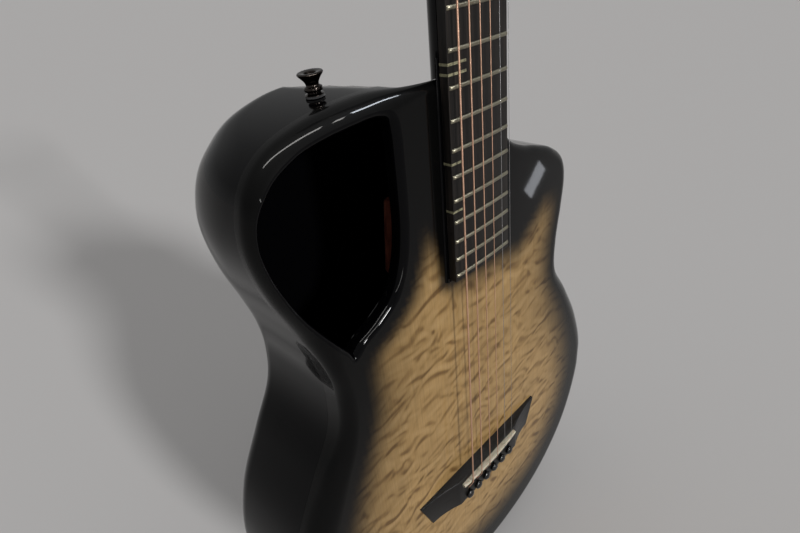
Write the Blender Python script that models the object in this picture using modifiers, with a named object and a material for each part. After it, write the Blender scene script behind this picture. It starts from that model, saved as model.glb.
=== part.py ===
"""A steel-string acoustic guitar with a moulded hollow body, a figured wood top and an offset soundhole.

Lengths are in metres. +Z runs up the neck towards the headstock, the soundboard faces -Y and +X is the
treble side. The origin lies on the centreline at the tail end of the body, where a stand carries it.
"""

import math

import bmesh
import bpy
from mathutils import Matrix, Vector

# Fits and walls
SEAT_GAP = 0.0003
SHELL_WALL = 0.003
TOP_WALL = 0.0027

# Main layout
SCALE_LENGTH = 0.648
SADDLE_Z = 0.158
SOUNDBOARD_Y = -0.050
PARTING_DEPTH = 0.020
SHOULDER_Z = 0.4855

# Depth of the body, which is shallower at the neck than at the tail
DEPTH_AT_SHOULDER = 0.091
DEPTH_AT_TAIL = 0.113

# Outline of the body seen from the front: x, z, the radius of its front edge, and how far the rounding of
# its back edge runs inwards and forwards
LOWER_BOUT = (
    (0.060, 0.0055, 0.016, 0.018, 0.018),
    (0.114, 0.0250, 0.018, 0.020, 0.020),
    (0.157, 0.0640, 0.018, 0.020, 0.020),
    (0.1815, 0.1150, 0.018, 0.020, 0.020),
    (0.1865, 0.1640, 0.018, 0.020, 0.020),
)
TREBLE_SIDE = (
    (0.1710, 0.2130, 0.018, 0.020, 0.020),
    (0.1460, 0.2560, 0.015, 0.018, 0.018),
    (0.1230, 0.2900, 0.013, 0.015, 0.015),
    (0.1205, 0.3200, 0.012, 0.014, 0.014),
    (0.1255, 0.3500, 0.012, 0.014, 0.014),
    (0.1283, 0.3760, 0.012, 0.014, 0.014),
    (0.1215, 0.3945, 0.010, 0.013, 0.013),
    (0.1055, 0.4060, 0.008, 0.011, 0.011),
    (0.0860, 0.4135, 0.007, 0.010, 0.010),
    (0.0660, 0.4200, 0.006, 0.009, 0.009),
    (0.0480, 0.4290, 0.005, 0.007, 0.007),
    (0.0370, 0.4410, 0.004, 0.006, 0.006),
    (0.0335, 0.4560, 0.004, 0.006, 0.006),
    (0.0325, 0.4720, 0.004, 0.006, 0.006),
    (0.0295, SHOULDER_Z - 0.0055, 0.004, 0.006, 0.006),
    (0.0200, SHOULDER_Z - 0.0011, 0.004, 0.006, 0.006),
    (0.0000, SHOULDER_Z - 0.0001, 0.004, 0.006, 0.006),
    (-0.0220, SHOULDER_Z, 0.004, 0.006, 0.006),
)
BASS_SIDE = (
    (-0.0440, SHOULDER_Z + 0.0008, 0.007, 0.010, 0.010),
    (-0.0680, SHOULDER_Z + 0.0026, 0.012, 0.016, 0.017),
    (-0.0930, SHOULDER_Z + 0.0014, 0.014, 0.0195, 0.0215),
    (-0.1170, SHOULDER_Z - 0.0029, 0.014, 0.022, 0.034),
    (-0.1345, SHOULDER_Z - 0.0097, 0.014, 0.025, 0.058),
    (-0.1475, 0.4640, 0.014, 0.027, 0.064),
    (-0.1545, 0.4470, 0.014, 0.026, 0.062),
    (-0.1560, 0.4270, 0.014, 0.024, 0.056),
    (-0.1505, 0.4010, 0.014, 0.021, 0.046),
    (-0.1400, 0.3720, 0.012, 0.018, 0.034),
    (-0.1315, 0.3450, 0.009, 0.015, 0.024),
    (-0.1280, 0.3180, 0.009, 0.013, 0.017),
    (-0.1330, 0.2880, 0.010, 0.014, 0.015),
    (-0.1525, 0.2560, 0.014, 0.018, 0.018),
    (-0.1755, 0.2130, 0.018, 0.020, 0.020),
)
OUTLINE_STEPS = 2
FRONT_EDGE_STEPS = 3
BACK_EDGE_STEPS = 5

# Top wall beside the neck, which falls towards the tail as it runs back
RAKE = 0.32
RAKE_START_Y = -0.046
RAKE_EDGE_X = -0.043
RAKE_SPREAD = 2.1
RAKE_FADE_Z = 0.440

# Soundhole in the bass shoulder: x and z of its inner wall
SOUNDHOLE = (
    (-0.1140, 0.3440),
    (-0.1040, 0.3510),
    (-0.0890, 0.3575),
    (-0.0740, 0.3680),
    (-0.0650, 0.3860),
    (-0.0605, 0.4070),
    (-0.0592, 0.4290),
    (-0.0592, 0.4500),
    (-0.0610, 0.4660),
    (-0.0700, 0.4730),
    (-0.0870, 0.4745),
    (-0.1050, 0.4730),
    (-0.1210, 0.4690),
    (-0.1350, 0.4615),
    (-0.1450, 0.4500),
    (-0.1490, 0.4360),
    (-0.1475, 0.4200),
    (-0.1425, 0.4030),
    (-0.1340, 0.3840),
    (-0.1250, 0.3650),
    (-0.1185, 0.3515),
)
SOUNDHOLE_STEPS = 2
LIP_DEPTH = 0.012
LIP_ROUND = 0.0025
LIP_PROUD = 0.0003
LIP_BITE = 0.0012

# Brace under the top beside the soundhole
BRACE_START = (-0.0520, 0.4230)
BRACE_END = (-0.0585, 0.3720)
BRACE_WIDTH = 0.008
BRACE_DEPTH = 0.020

# Round access hatch in the back
HATCH_X = -0.0168
HATCH_Z = 0.3333
HATCH_RADIUS = 0.036
HATCH_FLANGE = 0.006
HATCH_REBATE = 0.0015
HATCH_DEPTH = 0.0042
HATCH_CHAMFER = 0.0004

# Fretboard and frets
FRETBOARD_RISE = 0.008
FRETBOARD_THICKNESS = 0.006
FRETBOARD_LENGTH_FROM_SADDLE = 0.1995
NUT_END_HALF_WIDTH = 0.0222
BODY_END_HALF_WIDTH = 0.0295
CAMBER_RADIUS = 0.400
CAMBER_SPANS = 4
CROWN_RISE = 0.00085
FRET_COUNT = 20
FRET_CROWN = 0.0011
FRET_SHOULDER = 0.00086
FRET_HALF_WIDTH = 0.0012
FRET_TOP_HALF_WIDTH = 0.0006
FRET_INSET = 0.0007
TANG_HALF_WIDTH = 0.0003
TANG_DEPTH = 0.0016

# Neck
TONGUE_PROUD = 0.0009
TONGUE_OVERHANG = 0.0025
NECK_DEPTH_AT_NUT = 0.0145
NECK_DEPTH_AT_BODY = 0.0180
NECK_STEPS = 14
NECK_SQUARENESS = 2.1
NUT_END_BLEND = 0.030
TENON_HALF_WIDTH = 0.016
TENON_DEPTH = 0.0135
TENON_LENGTH = 0.057
TENON_OVERLAP = 0.012
TENON_BITE = 0.001

# Headstock: distance along it, half its width and how square its section is
HEADSTOCK_TILT = math.radians(14.0)
HEADSTOCK_THICKNESS = 0.014
HEADSTOCK = (
    (0.008, 0.0235, 3.0),
    (0.018, 0.0300, 5.0),
    (0.030, 0.0345, 9.0),
    (0.045, 0.0355, 12.0),
    (0.130, 0.0385, 12.0),
    (0.160, 0.0370, 12.0),
    (0.172, 0.0310, 12.0),
    (0.179, 0.0220, 12.0),
    (0.182, 0.0120, 12.0),
)

# Nut
NUT_THICKNESS = 0.0055
NUT_CREST = 0.0006
NUT_LAND = 0.0012
NUT_FALL = 0.0018

# Strings, from the low one on the bass side to the high one
STRING_DIAMETERS = (0.00135, 0.00107, 0.00081, 0.00061, 0.00041, 0.00030)
STRING_TURNS = (2, 2, 2, 2, 3, 3)
WOUND_STRINGS = 4
NUT_SPREAD = 0.0355
PIN_SPREAD = 0.058
ACTION_AT_NUT = 0.0005
ACTION_AT_SADDLE = 0.0040
STRING_START_DEPTH = 0.0015
STRING_START_OFFSET = 0.0015
TURN_POINTS = 24
TURN_GAP = 0.0006
TAIL_RUN = 0.0006

# Bridge: a block under the strings, scooped down to thin wings, and a shorter foot than top
BRIDGE_HALF_LENGTH = 0.080
BRIDGE_FOOT_HALF_LENGTH = 0.069
BRIDGE_ABOVE_SADDLE = 0.0055
BRIDGE_BELOW_SADDLE = 0.0235
BRIDGE_HEIGHT = 0.009
BRIDGE_TIP_HEIGHT = 0.0022
BRIDGE_SCOOP = 1.8
BRIDGE_SHARES = (0.0, 0.14, 0.3, 0.5, 0.72, 0.9, 1.0)
BRIDGE_CHAMFER = 0.0007

# Saddle
SADDLE_HALF_LENGTH = 0.0372
SADDLE_MARGIN = 0.003
SADDLE_THICKNESS = 0.0030
SADDLE_SLOT_DEPTH = 0.0035
SADDLE_TILT = math.radians(1.2)
SADDLE_CREST = 0.0009
SADDLE_CREST_SHARE = 0.3

# Bridge pins
PIN_BELOW_SADDLE = 0.0183
PIN_SLOPE = 0.033
PIN_RADIUS = 0.0026
PIN_TAPER = 0.85
PIN_HEAD_RADIUS = 0.0040
PIN_HEAD_HEIGHT = 0.0032
PIN_LENGTH = 0.022
PIN_POINT = 0.0012
PIN_STEPS = 12
NOTCH_LENGTH = 0.0100
NOTCH_DEPTH = 0.0040

# Tuning machines, placed on the headstock in its own frame
POST_X = 0.0245
POST_FIRST_Z = 0.040
POST_PITCH = 0.042
POST_RADIUS = 0.0025
POST_HEAD_RADIUS = 0.0031
POST_HEAD_CHAMFER = 0.0006
POST_SHAFT_RADIUS = 0.0030
POST_TAPER = 0.0008
POST_HEAD_ABOVE_WRAP = 0.0018
POST_NECK_HEIGHT = 0.0010
POST_HEIGHT = 0.0150
POST_HOLE_RADIUS = 0.0045
POST_STEPS = 12
WRAP_HEIGHT = 0.0085
HOUSING_SIZE = (0.0185, 0.0105, 0.0210)
HOUSING_WALL = 0.0015
HOUSING_OFFSET_X = 0.0015
HOUSING_OFFSET_Z = 0.0025
HOUSING_BEVEL = 0.0020
WHEEL_RADIUS = 0.0042
WHEEL_THICKNESS = 0.0026
WORM_RADIUS = 0.0019
WORM_HALF_LENGTH = 0.0036
GEAR_GAP = 0.0003
BUTTON_REACH = 0.0455
BUTTON_SIZE = (0.0130, 0.0110, 0.0180)
BUTTON_BEVEL = 0.0036
BUTTON_SHAFT_RADIUS = 0.0017

# Strap buttons: radius and height down their outer side, then the screw
STRAP_SHOULDER_X = -0.0845
STRAP_SHOULDER_Y = -0.015
STRAP_TAIL_Y = 0.004
STRAP_PROFILE = (
    (0.0000, 0.0128),
    (0.0052, 0.0128),
    (0.0070, 0.0119),
    (0.0070, 0.0107),
    (0.0050, 0.0086),
    (0.0034, 0.0066),
    (0.0042, 0.0034),
    (0.0058, 0.0022),
    (0.0063, 0.0012),
    (0.0063, 0.0000),
)
STRAP_STEPS = 16
SCREW_RADIUS = 0.0020
SCREW_LENGTH = 0.0100

# Values worked out from the ones above
STRINGS = len(STRING_DIAMETERS)
NUT_Z = SADDLE_Z + SCALE_LENGTH
NECK_TOP_Z = NUT_Z + SEAT_GAP + NUT_THICKNESS
PARTING_Y = SOUNDBOARD_Y + PARTING_DEPTH
FRETBOARD_END_Z = SADDLE_Z + FRETBOARD_LENGTH_FROM_SADDLE
FRETBOARD_EDGE_Y = SOUNDBOARD_Y - FRETBOARD_RISE
FRETBOARD_CROWN_Y = FRETBOARD_EDGE_Y - CROWN_RISE
FRET_TOP_Y = FRETBOARD_CROWN_Y - SEAT_GAP - FRET_CROWN
NECK_FRONT_Y = FRETBOARD_EDGE_Y + FRETBOARD_THICKNESS + SEAT_GAP
HEEL_Z = SHOULDER_Z + SEAT_GAP
BACK_SLOPE = (DEPTH_AT_TAIL - DEPTH_AT_SHOULDER) / SHOULDER_Z
BRIDGE_TOP_Z = SADDLE_Z + BRIDGE_ABOVE_SADDLE
BRIDGE_FOOT_Z = SADDLE_Z - BRIDGE_BELOW_SADDLE
BRIDGE_SEAT_Y = SOUNDBOARD_Y - SEAT_GAP
BRIDGE_FRONT_Y = BRIDGE_SEAT_Y - BRIDGE_HEIGHT
BRIDGE_BLOCK = SADDLE_HALF_LENGTH + SADDLE_MARGIN
PIN_Z = SADDLE_Z - PIN_BELOW_SADDLE
GEAR_CENTRES = WHEEL_RADIUS + GEAR_GAP + WORM_RADIUS
QUARTER_TURN = math.pi / 2

# How far a cutter runs past the material it cuts
CUT_OVER = 0.01
CUT_THROUGH = 0.03


def clear_scene():
    for obj in list(bpy.data.objects):
        bpy.data.objects.remove(obj, do_unlink=True)


def new_collection(name):
    collection = bpy.data.collections.new(name)
    bpy.context.scene.collection.children.link(collection)
    return collection


def finish(name, colour, roughness, metallic=0.0):
    material = bpy.data.materials.new(name)
    material.use_nodes = True
    shader = material.node_tree.nodes["Principled BSDF"]
    shader.inputs["Base Color"].default_value = (*colour, 1.0)
    shader.inputs["Roughness"].default_value = roughness
    shader.inputs["Metallic"].default_value = metallic
    return material


def place(name, data, collection, material=None, parent=None):
    """Puts a mesh or a curve in the scene as one named object."""
    obj = bpy.data.objects.new(name, data)
    collection.objects.link(obj)
    if material:
        data.materials.append(material)
    if parent:
        obj.parent = parent
    return obj


def mesh_of(bm, name, smooth_angle=35.0):
    mesh = bpy.data.meshes.new(name)
    bm.to_mesh(mesh)
    bm.free()
    mesh.shade_smooth()
    mesh.set_sharp_from_angle(angle=math.radians(smooth_angle))
    return mesh


def cutter(name, mesh, collection, parent=None):
    """An object that only shapes others and is never shown."""
    obj = place(name, mesh, collection, parent=parent)
    obj.hide_render = True
    obj.display_type = "WIRE"
    return obj


def cut(obj, tool, operation="DIFFERENCE"):
    modifier = obj.modifiers.new(f"{operation.lower()} {tool.name}", "BOOLEAN")
    modifier.operation = operation
    modifier.solver = "EXACT"
    modifier.object = tool


def solidify(obj, thickness):
    wall = obj.modifiers.new("wall", "SOLIDIFY")
    wall.thickness = thickness
    wall.offset = -1.0
    wall.use_even_offset = True


def smooth_loop(points, steps):
    """Points on a closed curve through the given ones, steps to each span."""
    count = len(points)
    loop = []
    for i in range(count):
        before, start, end, after = (Vector(points[(i + k - 1) % count]) for k in range(4))
        for step in range(steps):
            t = step / steps
            bend = 2 * before - 5 * start + 4 * end - after
            twist = 3 * start - before - 3 * end + after
            loop.append((2 * start + (end - before) * t + bend * t**2 + twist * t**3) / 2)
    return loop


def outward_normals(loop):
    """Unit normals of a counter-clockwise loop in x and z, facing out of it."""
    normals = []
    for i, _ in enumerate(loop):
        before, after = loop[i - 1], loop[(i + 1) % len(loop)]
        normals.append(Vector((after[1] - before[1], before[0] - after[0])).normalized())
    return normals


def add_ring(bm, points):
    return [bm.verts.new(point) for point in points]


def join_rings(bm, rings):
    """Quads between each ring of vertices and the next."""
    for lower, upper in zip(rings, rings[1:]):
        for i, _ in enumerate(lower):
            j = (i + 1) % len(lower)
            bm.faces.new((lower[i], lower[j], upper[j], upper[i]))


def lofted(name, rings):
    """A solid that runs through the given rings of points, closed at both ends."""
    bm = bmesh.new()
    made = [add_ring(bm, ring) for ring in rings]
    join_rings(bm, made)
    bm.faces.new(made[0])
    bm.faces.new(made[-1])
    bmesh.ops.recalc_face_normals(bm, faces=bm.faces)
    return mesh_of(bm, name)


def open_loft(name, rings):
    """A skin that runs through the given rings of points, open at its first one."""
    bm = bmesh.new()
    made = [add_ring(bm, ring) for ring in rings]
    join_rings(bm, made)
    bm.faces.new(made[-1])
    lid = bm.faces.new(made[0])
    bmesh.ops.recalc_face_normals(bm, faces=bm.faces)
    bmesh.ops.delete(bm, geom=[lid], context="FACES_ONLY")
    return mesh_of(bm, name)


def add_box(bm, low, high):
    verts = bmesh.ops.create_cube(bm, size=1.0)["verts"]
    bmesh.ops.scale(bm, vec=Vector(high) - Vector(low), verts=verts)
    bmesh.ops.translate(bm, vec=(Vector(low) + Vector(high)) / 2, verts=verts)


def box_mesh(name, low, high, bevel=0.0):
    bm = bmesh.new()
    add_box(bm, low, high)
    if bevel:
        bmesh.ops.bevel(bm, geom=bm.edges[:], offset=bevel, segments=2, profile=0.5, affect="EDGES")
    return mesh_of(bm, name)


def turned(name, profile, collection, material=None, parent=None, steps=16):
    """A shape turned about its own z axis. The profile runs down its outer side as radius and height."""
    mesh = bpy.data.meshes.new(name)
    points = [(radius, 0.0, height) for radius, height in profile]
    mesh.from_pydata(points, [(i, i + 1) for i in range(len(points) - 1)], [])
    obj = place(name, mesh, collection, material, parent)
    screw = obj.modifiers.new("turn", "SCREW")
    screw.steps = steps
    screw.render_steps = steps
    screw.use_merge_vertices = True
    screw.merge_threshold = 0.00001
    screw.use_smooth_shade = True
    return obj


def drill(name, radius, top, bottom, collection, parent=None, steps=16):
    """A round cutter on its own z axis, from the height top down to bottom."""
    profile = ((0.0, top), (radius, top), (radius, bottom), (0.0, bottom))
    obj = turned(name, profile, collection, parent=parent, steps=steps)
    obj.hide_render = True
    obj.display_type = "WIRE"
    return obj


def body_loop():
    bass_bout = [(-x, *rest) for x, *rest in reversed(LOWER_BOUT)]
    tail = [(0.0, 0.0, *LOWER_BOUT[0][2:])]
    points = tail + list(LOWER_BOUT) + list(TREBLE_SIDE) + list(BASS_SIDE) + bass_bout
    return smooth_loop(points, OUTLINE_STEPS)


def edge_distance(x, z, loop):
    """Distance in from the outline, and the radius of the front edge there."""
    nearest = (math.inf, 0.0)
    here = Vector((x, z))
    for i, point in enumerate(loop):
        start, end = Vector(point[:2]), Vector(loop[(i + 1) % len(loop)][:2])
        span = end - start
        along = max(0.0, min(1.0, (here - start).dot(span) / span.length_squared))
        nearest = min(nearest, ((here - start - span * along).length, point[2]))
    return nearest


def top_y(x, z, loop):
    """Front surface of the soundboard, with the rounding of its edge."""
    distance, edge = edge_distance(x, z, loop)
    inside = max(0.0, edge - distance)
    return SOUNDBOARD_Y + edge - math.sqrt(edge**2 - inside**2)


def back_y(z):
    return SOUNDBOARD_Y + DEPTH_AT_TAIL - z * BACK_SLOPE


def rake_drop(x, y, z):
    """How far the top wall beside the neck has fallen by the depth y."""
    start = RAKE_START_Y + RAKE_SPREAD * max(0.0, RAKE_EDGE_X - x)
    fade = max(0.0, min(1.0, (z - RAKE_FADE_Z) / (SHOULDER_Z - RAKE_FADE_Z)))
    return RAKE * max(0.0, y - start) * fade


def wall_ring(loop, y):
    """The side wall of the body at one depth."""
    return [(x, y, z - rake_drop(x, y, z)) for x, z, *_ in loop]


def middle_ring(loop):
    """The side wall halfway between its front edge and the rounding of the back."""
    ring = []
    for x, z, _, _, rise in loop:
        y = (PARTING_Y + back_y(z) - rise) / 2
        ring.append((x, y, z - rake_drop(x, y, z)))
    return ring


def inset_point(point, normal, inset):
    return point[0] - normal[0] * inset, point[1] - normal[1] * inset


def shoulder_seat(x):
    """Height of the bass shoulder at x and its slope, as an angle."""
    loop = body_loop()
    for start, end in zip(loop, loop[1:]):
        if start[1] > RAKE_FADE_Z and end[0] <= x < start[0]:
            slope = (start[1] - end[1]) / (start[0] - end[0])
            return end[1] + (x - end[0]) * slope, math.atan(slope)
    raise ValueError("The strap button lies outside the shoulder")


def make_soundboard(parts, cutters, material):
    loop = body_loop()
    normals = outward_normals(loop)
    rings = [wall_ring(loop, PARTING_Y)]
    for step in range(FRONT_EDGE_STEPS + 1):
        angle = QUARTER_TURN * step / FRONT_EDGE_STEPS
        ring = []
        for point, normal in zip(loop, normals):
            edge = point[2]
            x, z = inset_point(point, normal, edge * (1 - math.cos(angle)))
            ring.append((x, SOUNDBOARD_Y + edge * (1 - math.sin(angle)), z))
        rings.append(ring)
    soundboard = place("soundboard", open_loft("soundboard", rings), parts, material)
    solidify(soundboard, TOP_WALL)

    hole = smooth_loop(SOUNDHOLE, SOUNDHOLE_STEPS)
    hole_normals = outward_normals(hole)
    opening = [inset_point(p, n, -LIP_ROUND) for p, n in zip(hole, hole_normals)]
    levels = (SOUNDBOARD_Y - CUT_OVER, PARTING_Y + LIP_DEPTH)
    way = lofted("soundhole_way", [[(x, y, z) for x, z in opening] for y in levels])
    cut(soundboard, cutter("soundhole_way", way, cutters))
    cut(soundboard, cutter("soundhole_lip", soundhole_lip(hole, hole_normals, loop), cutters), "UNION")
    cut(soundboard, cutter("brace", brace_mesh(), cutters), "UNION")
    return soundboard


def soundhole_lip(hole, hole_normals, loop):
    """A closed ring round the soundhole: how far out of the hole and how far below the top it runs."""
    profile = (
        (LIP_ROUND + LIP_BITE, LIP_BITE),
        (LIP_ROUND + LIP_BITE * 0.6, -LIP_PROUD),
        (LIP_ROUND * 0.4, LIP_PROUD),
        (0.0, LIP_ROUND * 0.8),
        (0.0, LIP_DEPTH),
        (TOP_WALL, LIP_DEPTH),
        (LIP_ROUND + LIP_BITE * 0.5, TOP_WALL - LIP_BITE * 0.4),
    )
    bm = bmesh.new()
    rings = []
    for outset, drop in profile:
        places = [inset_point(p, n, -outset) for p, n in zip(hole, hole_normals)]
        rings.append(add_ring(bm, [(x, top_y(x, z, loop) + drop, z) for x, z in places]))
    join_rings(bm, rings + rings[:1])
    bmesh.ops.recalc_face_normals(bm, faces=bm.faces)
    return mesh_of(bm, "soundhole_lip")


def brace_mesh():
    """A bar with pointed ends, standing on the underside of the top."""
    start, end = Vector(BRACE_START), Vector(BRACE_END)
    point = (end - start).normalized() * BRACE_WIDTH / 2
    side = Vector((-point[1], point[0]))
    plan = [start + side + point, start, start - side + point]
    plan += [end - side - point, end, end + side - point]
    under = SOUNDBOARD_Y + TOP_WALL / 2
    return lofted("brace", [[(x, y, z) for x, z in plan] for y in (under, under + BRACE_DEPTH)])


def make_body_shell(parts, material):
    loop = body_loop()
    normals = outward_normals(loop)
    rings = [wall_ring(loop, PARTING_Y + SEAT_GAP), middle_ring(loop)]
    for step in range(BACK_EDGE_STEPS + 1):
        angle = QUARTER_TURN * step / BACK_EDGE_STEPS
        ring = []
        for point, normal in zip(loop, normals):
            x, z = inset_point(point, normal, point[3] * (1 - math.cos(angle)))
            rise = point[4] * (1 - math.sin(angle))
            z -= rake_drop(x, back_y(z) - rise, point[1])
            ring.append((x, back_y(z) - rise, z))
        rings.append(ring)
    shell = place("body_shell", open_loft("body_shell", rings), parts, material)
    solidify(shell, SHELL_WALL)
    return shell


def neck_half_width(z):
    """Half the width of the fretboard, which tapers from the body end to the nut."""
    along = (z - FRETBOARD_END_Z) / (NUT_Z - FRETBOARD_END_Z)
    return BODY_END_HALF_WIDTH + (NUT_END_HALF_WIDTH - BODY_END_HALF_WIDTH) * along


def neck_ring(z, half_width, front, depth, squareness):
    """A section of the neck: flat in front, and from a half round to nearly a box behind."""
    ring = []
    for step in range(NECK_STEPS + 1):
        angle = math.pi * step / NECK_STEPS
        across, behind = math.cos(angle), max(math.sin(angle), 0.0)
        x = half_width * math.copysign(abs(across) ** (2 / squareness), across)
        ring.append((x, front + depth * behind ** (2 / squareness), z))
    return ring


def heel_ring():
    """The end of the neck that meets the body, cut flat to the slope of the wall beside it."""
    ring = neck_ring(HEEL_Z, neck_half_width(HEEL_Z), NECK_FRONT_Y, NECK_DEPTH_AT_BODY, NECK_SQUARENESS)
    return [(x, y, z - RAKE * (y - RAKE_START_Y)) for x, y, z in ring]


def make_neck(parts, cutters, headstock, material):
    rings = [heel_ring()]
    blend_z = NUT_Z - NUT_END_BLEND
    for z, depth in ((blend_z, NECK_DEPTH_AT_NUT), (NECK_TOP_Z, NECK_DEPTH_AT_NUT)):
        half = neck_half_width(min(z, NUT_Z))
        rings.append(neck_ring(z, half, NECK_FRONT_Y, depth, NECK_SQUARENESS))
    thickness = HEADSTOCK_THICKNESS / math.cos(HEADSTOCK_TILT)
    for along, half, squareness in HEADSTOCK:
        z = NECK_TOP_Z + along * math.cos(HEADSTOCK_TILT)
        front = NECK_FRONT_Y + along * math.sin(HEADSTOCK_TILT)
        rings.append(neck_ring(z, half, front, thickness, squareness))
    neck = place("neck", lofted("neck", rings), parts, material)

    reach = HEEL_Z + TENON_OVERLAP
    tenon = box_mesh(
        "neck_tenon",
        (-TENON_HALF_WIDTH, NECK_FRONT_Y + TENON_BITE, SHOULDER_Z - TENON_LENGTH),
        (TENON_HALF_WIDTH, NECK_FRONT_Y + TENON_DEPTH, reach),
    )
    cut(neck, cutter("neck_tenon", tenon, cutters), "UNION")
    tongue_rings = []
    for z, proud in ((FRETBOARD_END_Z - TONGUE_OVERHANG, TONGUE_PROUD), (reach, 0.0)):
        half = neck_half_width(z) + proud
        across = ((-half, NECK_FRONT_Y), (half, NECK_FRONT_Y), (half, BRIDGE_SEAT_Y), (-half, BRIDGE_SEAT_Y))
        tongue_rings.append([(x, y, z) for x, y in across])
    cut(neck, cutter("neck_tongue", lofted("neck_tongue", tongue_rings), cutters), "UNION")
    for index in range(STRINGS):
        x, z, _ = post_place(index)
        hole = drill(f"post_hole_{index + 1}", POST_HOLE_RADIUS, CUT_THROUGH, -CUT_THROUGH, cutters, headstock)
        hole.location = (x, 0.0, z)
        hole.rotation_euler = (QUARTER_TURN, 0.0, 0.0)
        cut(neck, hole)
    return neck


def post_place(index):
    """Place of a tuning post on the headstock, and +1 where it stands on the treble side."""
    half = STRINGS // 2
    side = -1 if index < half else 1
    order = index if index < half else STRINGS - 1 - index
    return side * POST_X, POST_FIRST_Z + POST_PITCH * order, side


def camber_y(x):
    return x**2 / (2 * CAMBER_RADIUS)


def camber_fractions():
    return [2 * step / CAMBER_SPANS - 1 for step in range(CAMBER_SPANS + 1)]


def fret_z(number):
    return SADDLE_Z + SCALE_LENGTH / 2 ** (number / 12)


def make_fretboard(parts, cutters, material):
    rings = []
    back = FRETBOARD_EDGE_Y + FRETBOARD_THICKNESS
    for z in (FRETBOARD_END_Z, NUT_Z):
        half = neck_half_width(z)
        ring = [(half, back, z), (-half, back, z)]
        ring += [(half * f, FRETBOARD_CROWN_Y + camber_y(half * f), z) for f in camber_fractions()]
        rings.append(ring)
    fretboard = place("fretboard", lofted("fretboard", rings), parts, material)
    bm = bmesh.new()
    half = TANG_HALF_WIDTH + SEAT_GAP
    floor = FRETBOARD_CROWN_Y + camber_y(BODY_END_HALF_WIDTH) + TANG_DEPTH
    for number in range(1, FRET_COUNT + 1):
        z = fret_z(number)
        low = (-BODY_END_HALF_WIDTH - CUT_OVER, FRETBOARD_CROWN_Y - CUT_OVER, z - half)
        add_box(bm, low, (BODY_END_HALF_WIDTH + CUT_OVER, floor, z + half))
    cut(fretboard, cutter("fret_slots", mesh_of(bm, "fret_slots"), cutters))
    return fretboard


def make_fret(number, parts, material):
    """A fret: a rounded crown over the fretboard and a tang down in its slot."""
    z = fret_z(number)
    half = neck_half_width(z) - FRET_INSET
    section = (
        (-TANG_HALF_WIDTH, TANG_DEPTH),
        (TANG_HALF_WIDTH, TANG_DEPTH),
        (TANG_HALF_WIDTH, 0.0),
        (FRET_HALF_WIDTH, 0.0),
        (FRET_TOP_HALF_WIDTH, -FRET_SHOULDER),
        (0.0, -FRET_CROWN),
        (-FRET_TOP_HALF_WIDTH, -FRET_SHOULDER),
        (-FRET_HALF_WIDTH, 0.0),
        (-TANG_HALF_WIDTH, 0.0),
    )
    rings = []
    for fraction in camber_fractions():
        x = half * fraction
        seat = FRETBOARD_CROWN_Y + camber_y(x) - SEAT_GAP
        rings.append([(x, seat + drop, z + along) for along, drop in section])
    name = f"fret_{number:02d}"
    return place(name, lofted(name, rings), parts, material)


def string_x(index, z):
    """Place of a string across the neck: the strings fan out from the nut to the pins."""
    fraction = index / (STRINGS - 1) - 0.5
    along = (NUT_Z - z) / (NUT_Z - PIN_Z)
    return fraction * (NUT_SPREAD + (PIN_SPREAD - NUT_SPREAD) * along)


def string_seat_y(index, z):
    """Underside of a string between the nut and the saddle, above the cambered crowns of the frets."""
    along = (NUT_Z - z) / SCALE_LENGTH
    action = ACTION_AT_NUT + (ACTION_AT_SADDLE - ACTION_AT_NUT) * along
    return FRET_TOP_Y + camber_y(string_x(index, z)) - action


def make_nut(parts, cutters, material):
    low, high = NUT_Z + SEAT_GAP, NECK_TOP_Z
    seat = NECK_FRONT_Y - SEAT_GAP
    rings = []
    for fraction in camber_fractions():
        x = NUT_END_HALF_WIDTH * fraction
        front = FRET_TOP_Y + camber_y(x) - ACTION_AT_NUT - NUT_CREST
        section = ((seat, low), (seat, high), (front + NUT_FALL, high), (front, low + NUT_LAND), (front, low))
        rings.append([(x, y, z) for y, z in section])
    nut = place("nut", lofted("nut", rings), parts, material)
    bm = bmesh.new()
    for index, diameter in enumerate(STRING_DIAMETERS):
        x, floor = string_x(index, NUT_Z), string_seat_y(index, NUT_Z) + SEAT_GAP
        half = diameter / 2 + SEAT_GAP
        add_box(bm, (x - half, floor - CUT_OVER, low - CUT_OVER), (x + half, floor, high + CUT_OVER))
    cut(nut, cutter("nut_slots", mesh_of(bm, "nut_slots"), cutters))
    return nut


def bridge_share(x):
    """0 over the block of the bridge, rising to 1 at its tips."""
    return max(0.0, abs(x) - BRIDGE_BLOCK) / (BRIDGE_HALF_LENGTH - BRIDGE_BLOCK)


def bridge_ring(x):
    share = bridge_share(x)
    scoop = (BRIDGE_HEIGHT - BRIDGE_TIP_HEIGHT) * (1 - share) ** BRIDGE_SCOOP
    front = BRIDGE_SEAT_Y - BRIDGE_TIP_HEIGHT - scoop
    foot_x = x - math.copysign((BRIDGE_HALF_LENGTH - BRIDGE_FOOT_HALF_LENGTH) * share, x)
    return [
        (x, BRIDGE_SEAT_Y, BRIDGE_TOP_Z),
        (x, front + BRIDGE_CHAMFER, BRIDGE_TOP_Z),
        (x, front, BRIDGE_TOP_Z - BRIDGE_CHAMFER),
        (foot_x, front, BRIDGE_FOOT_Z + BRIDGE_CHAMFER),
        (foot_x, front + BRIDGE_CHAMFER, BRIDGE_FOOT_Z),
        (foot_x, BRIDGE_SEAT_Y, BRIDGE_FOOT_Z),
    ]


def saddle_frame(obj):
    obj.location = (0.0, BRIDGE_FRONT_Y, SADDLE_Z)
    obj.rotation_euler = (0.0, -SADDLE_TILT, 0.0)


def pin_place(index):
    x = string_x(index, PIN_Z)
    return x, PIN_Z + x * PIN_SLOPE


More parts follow.
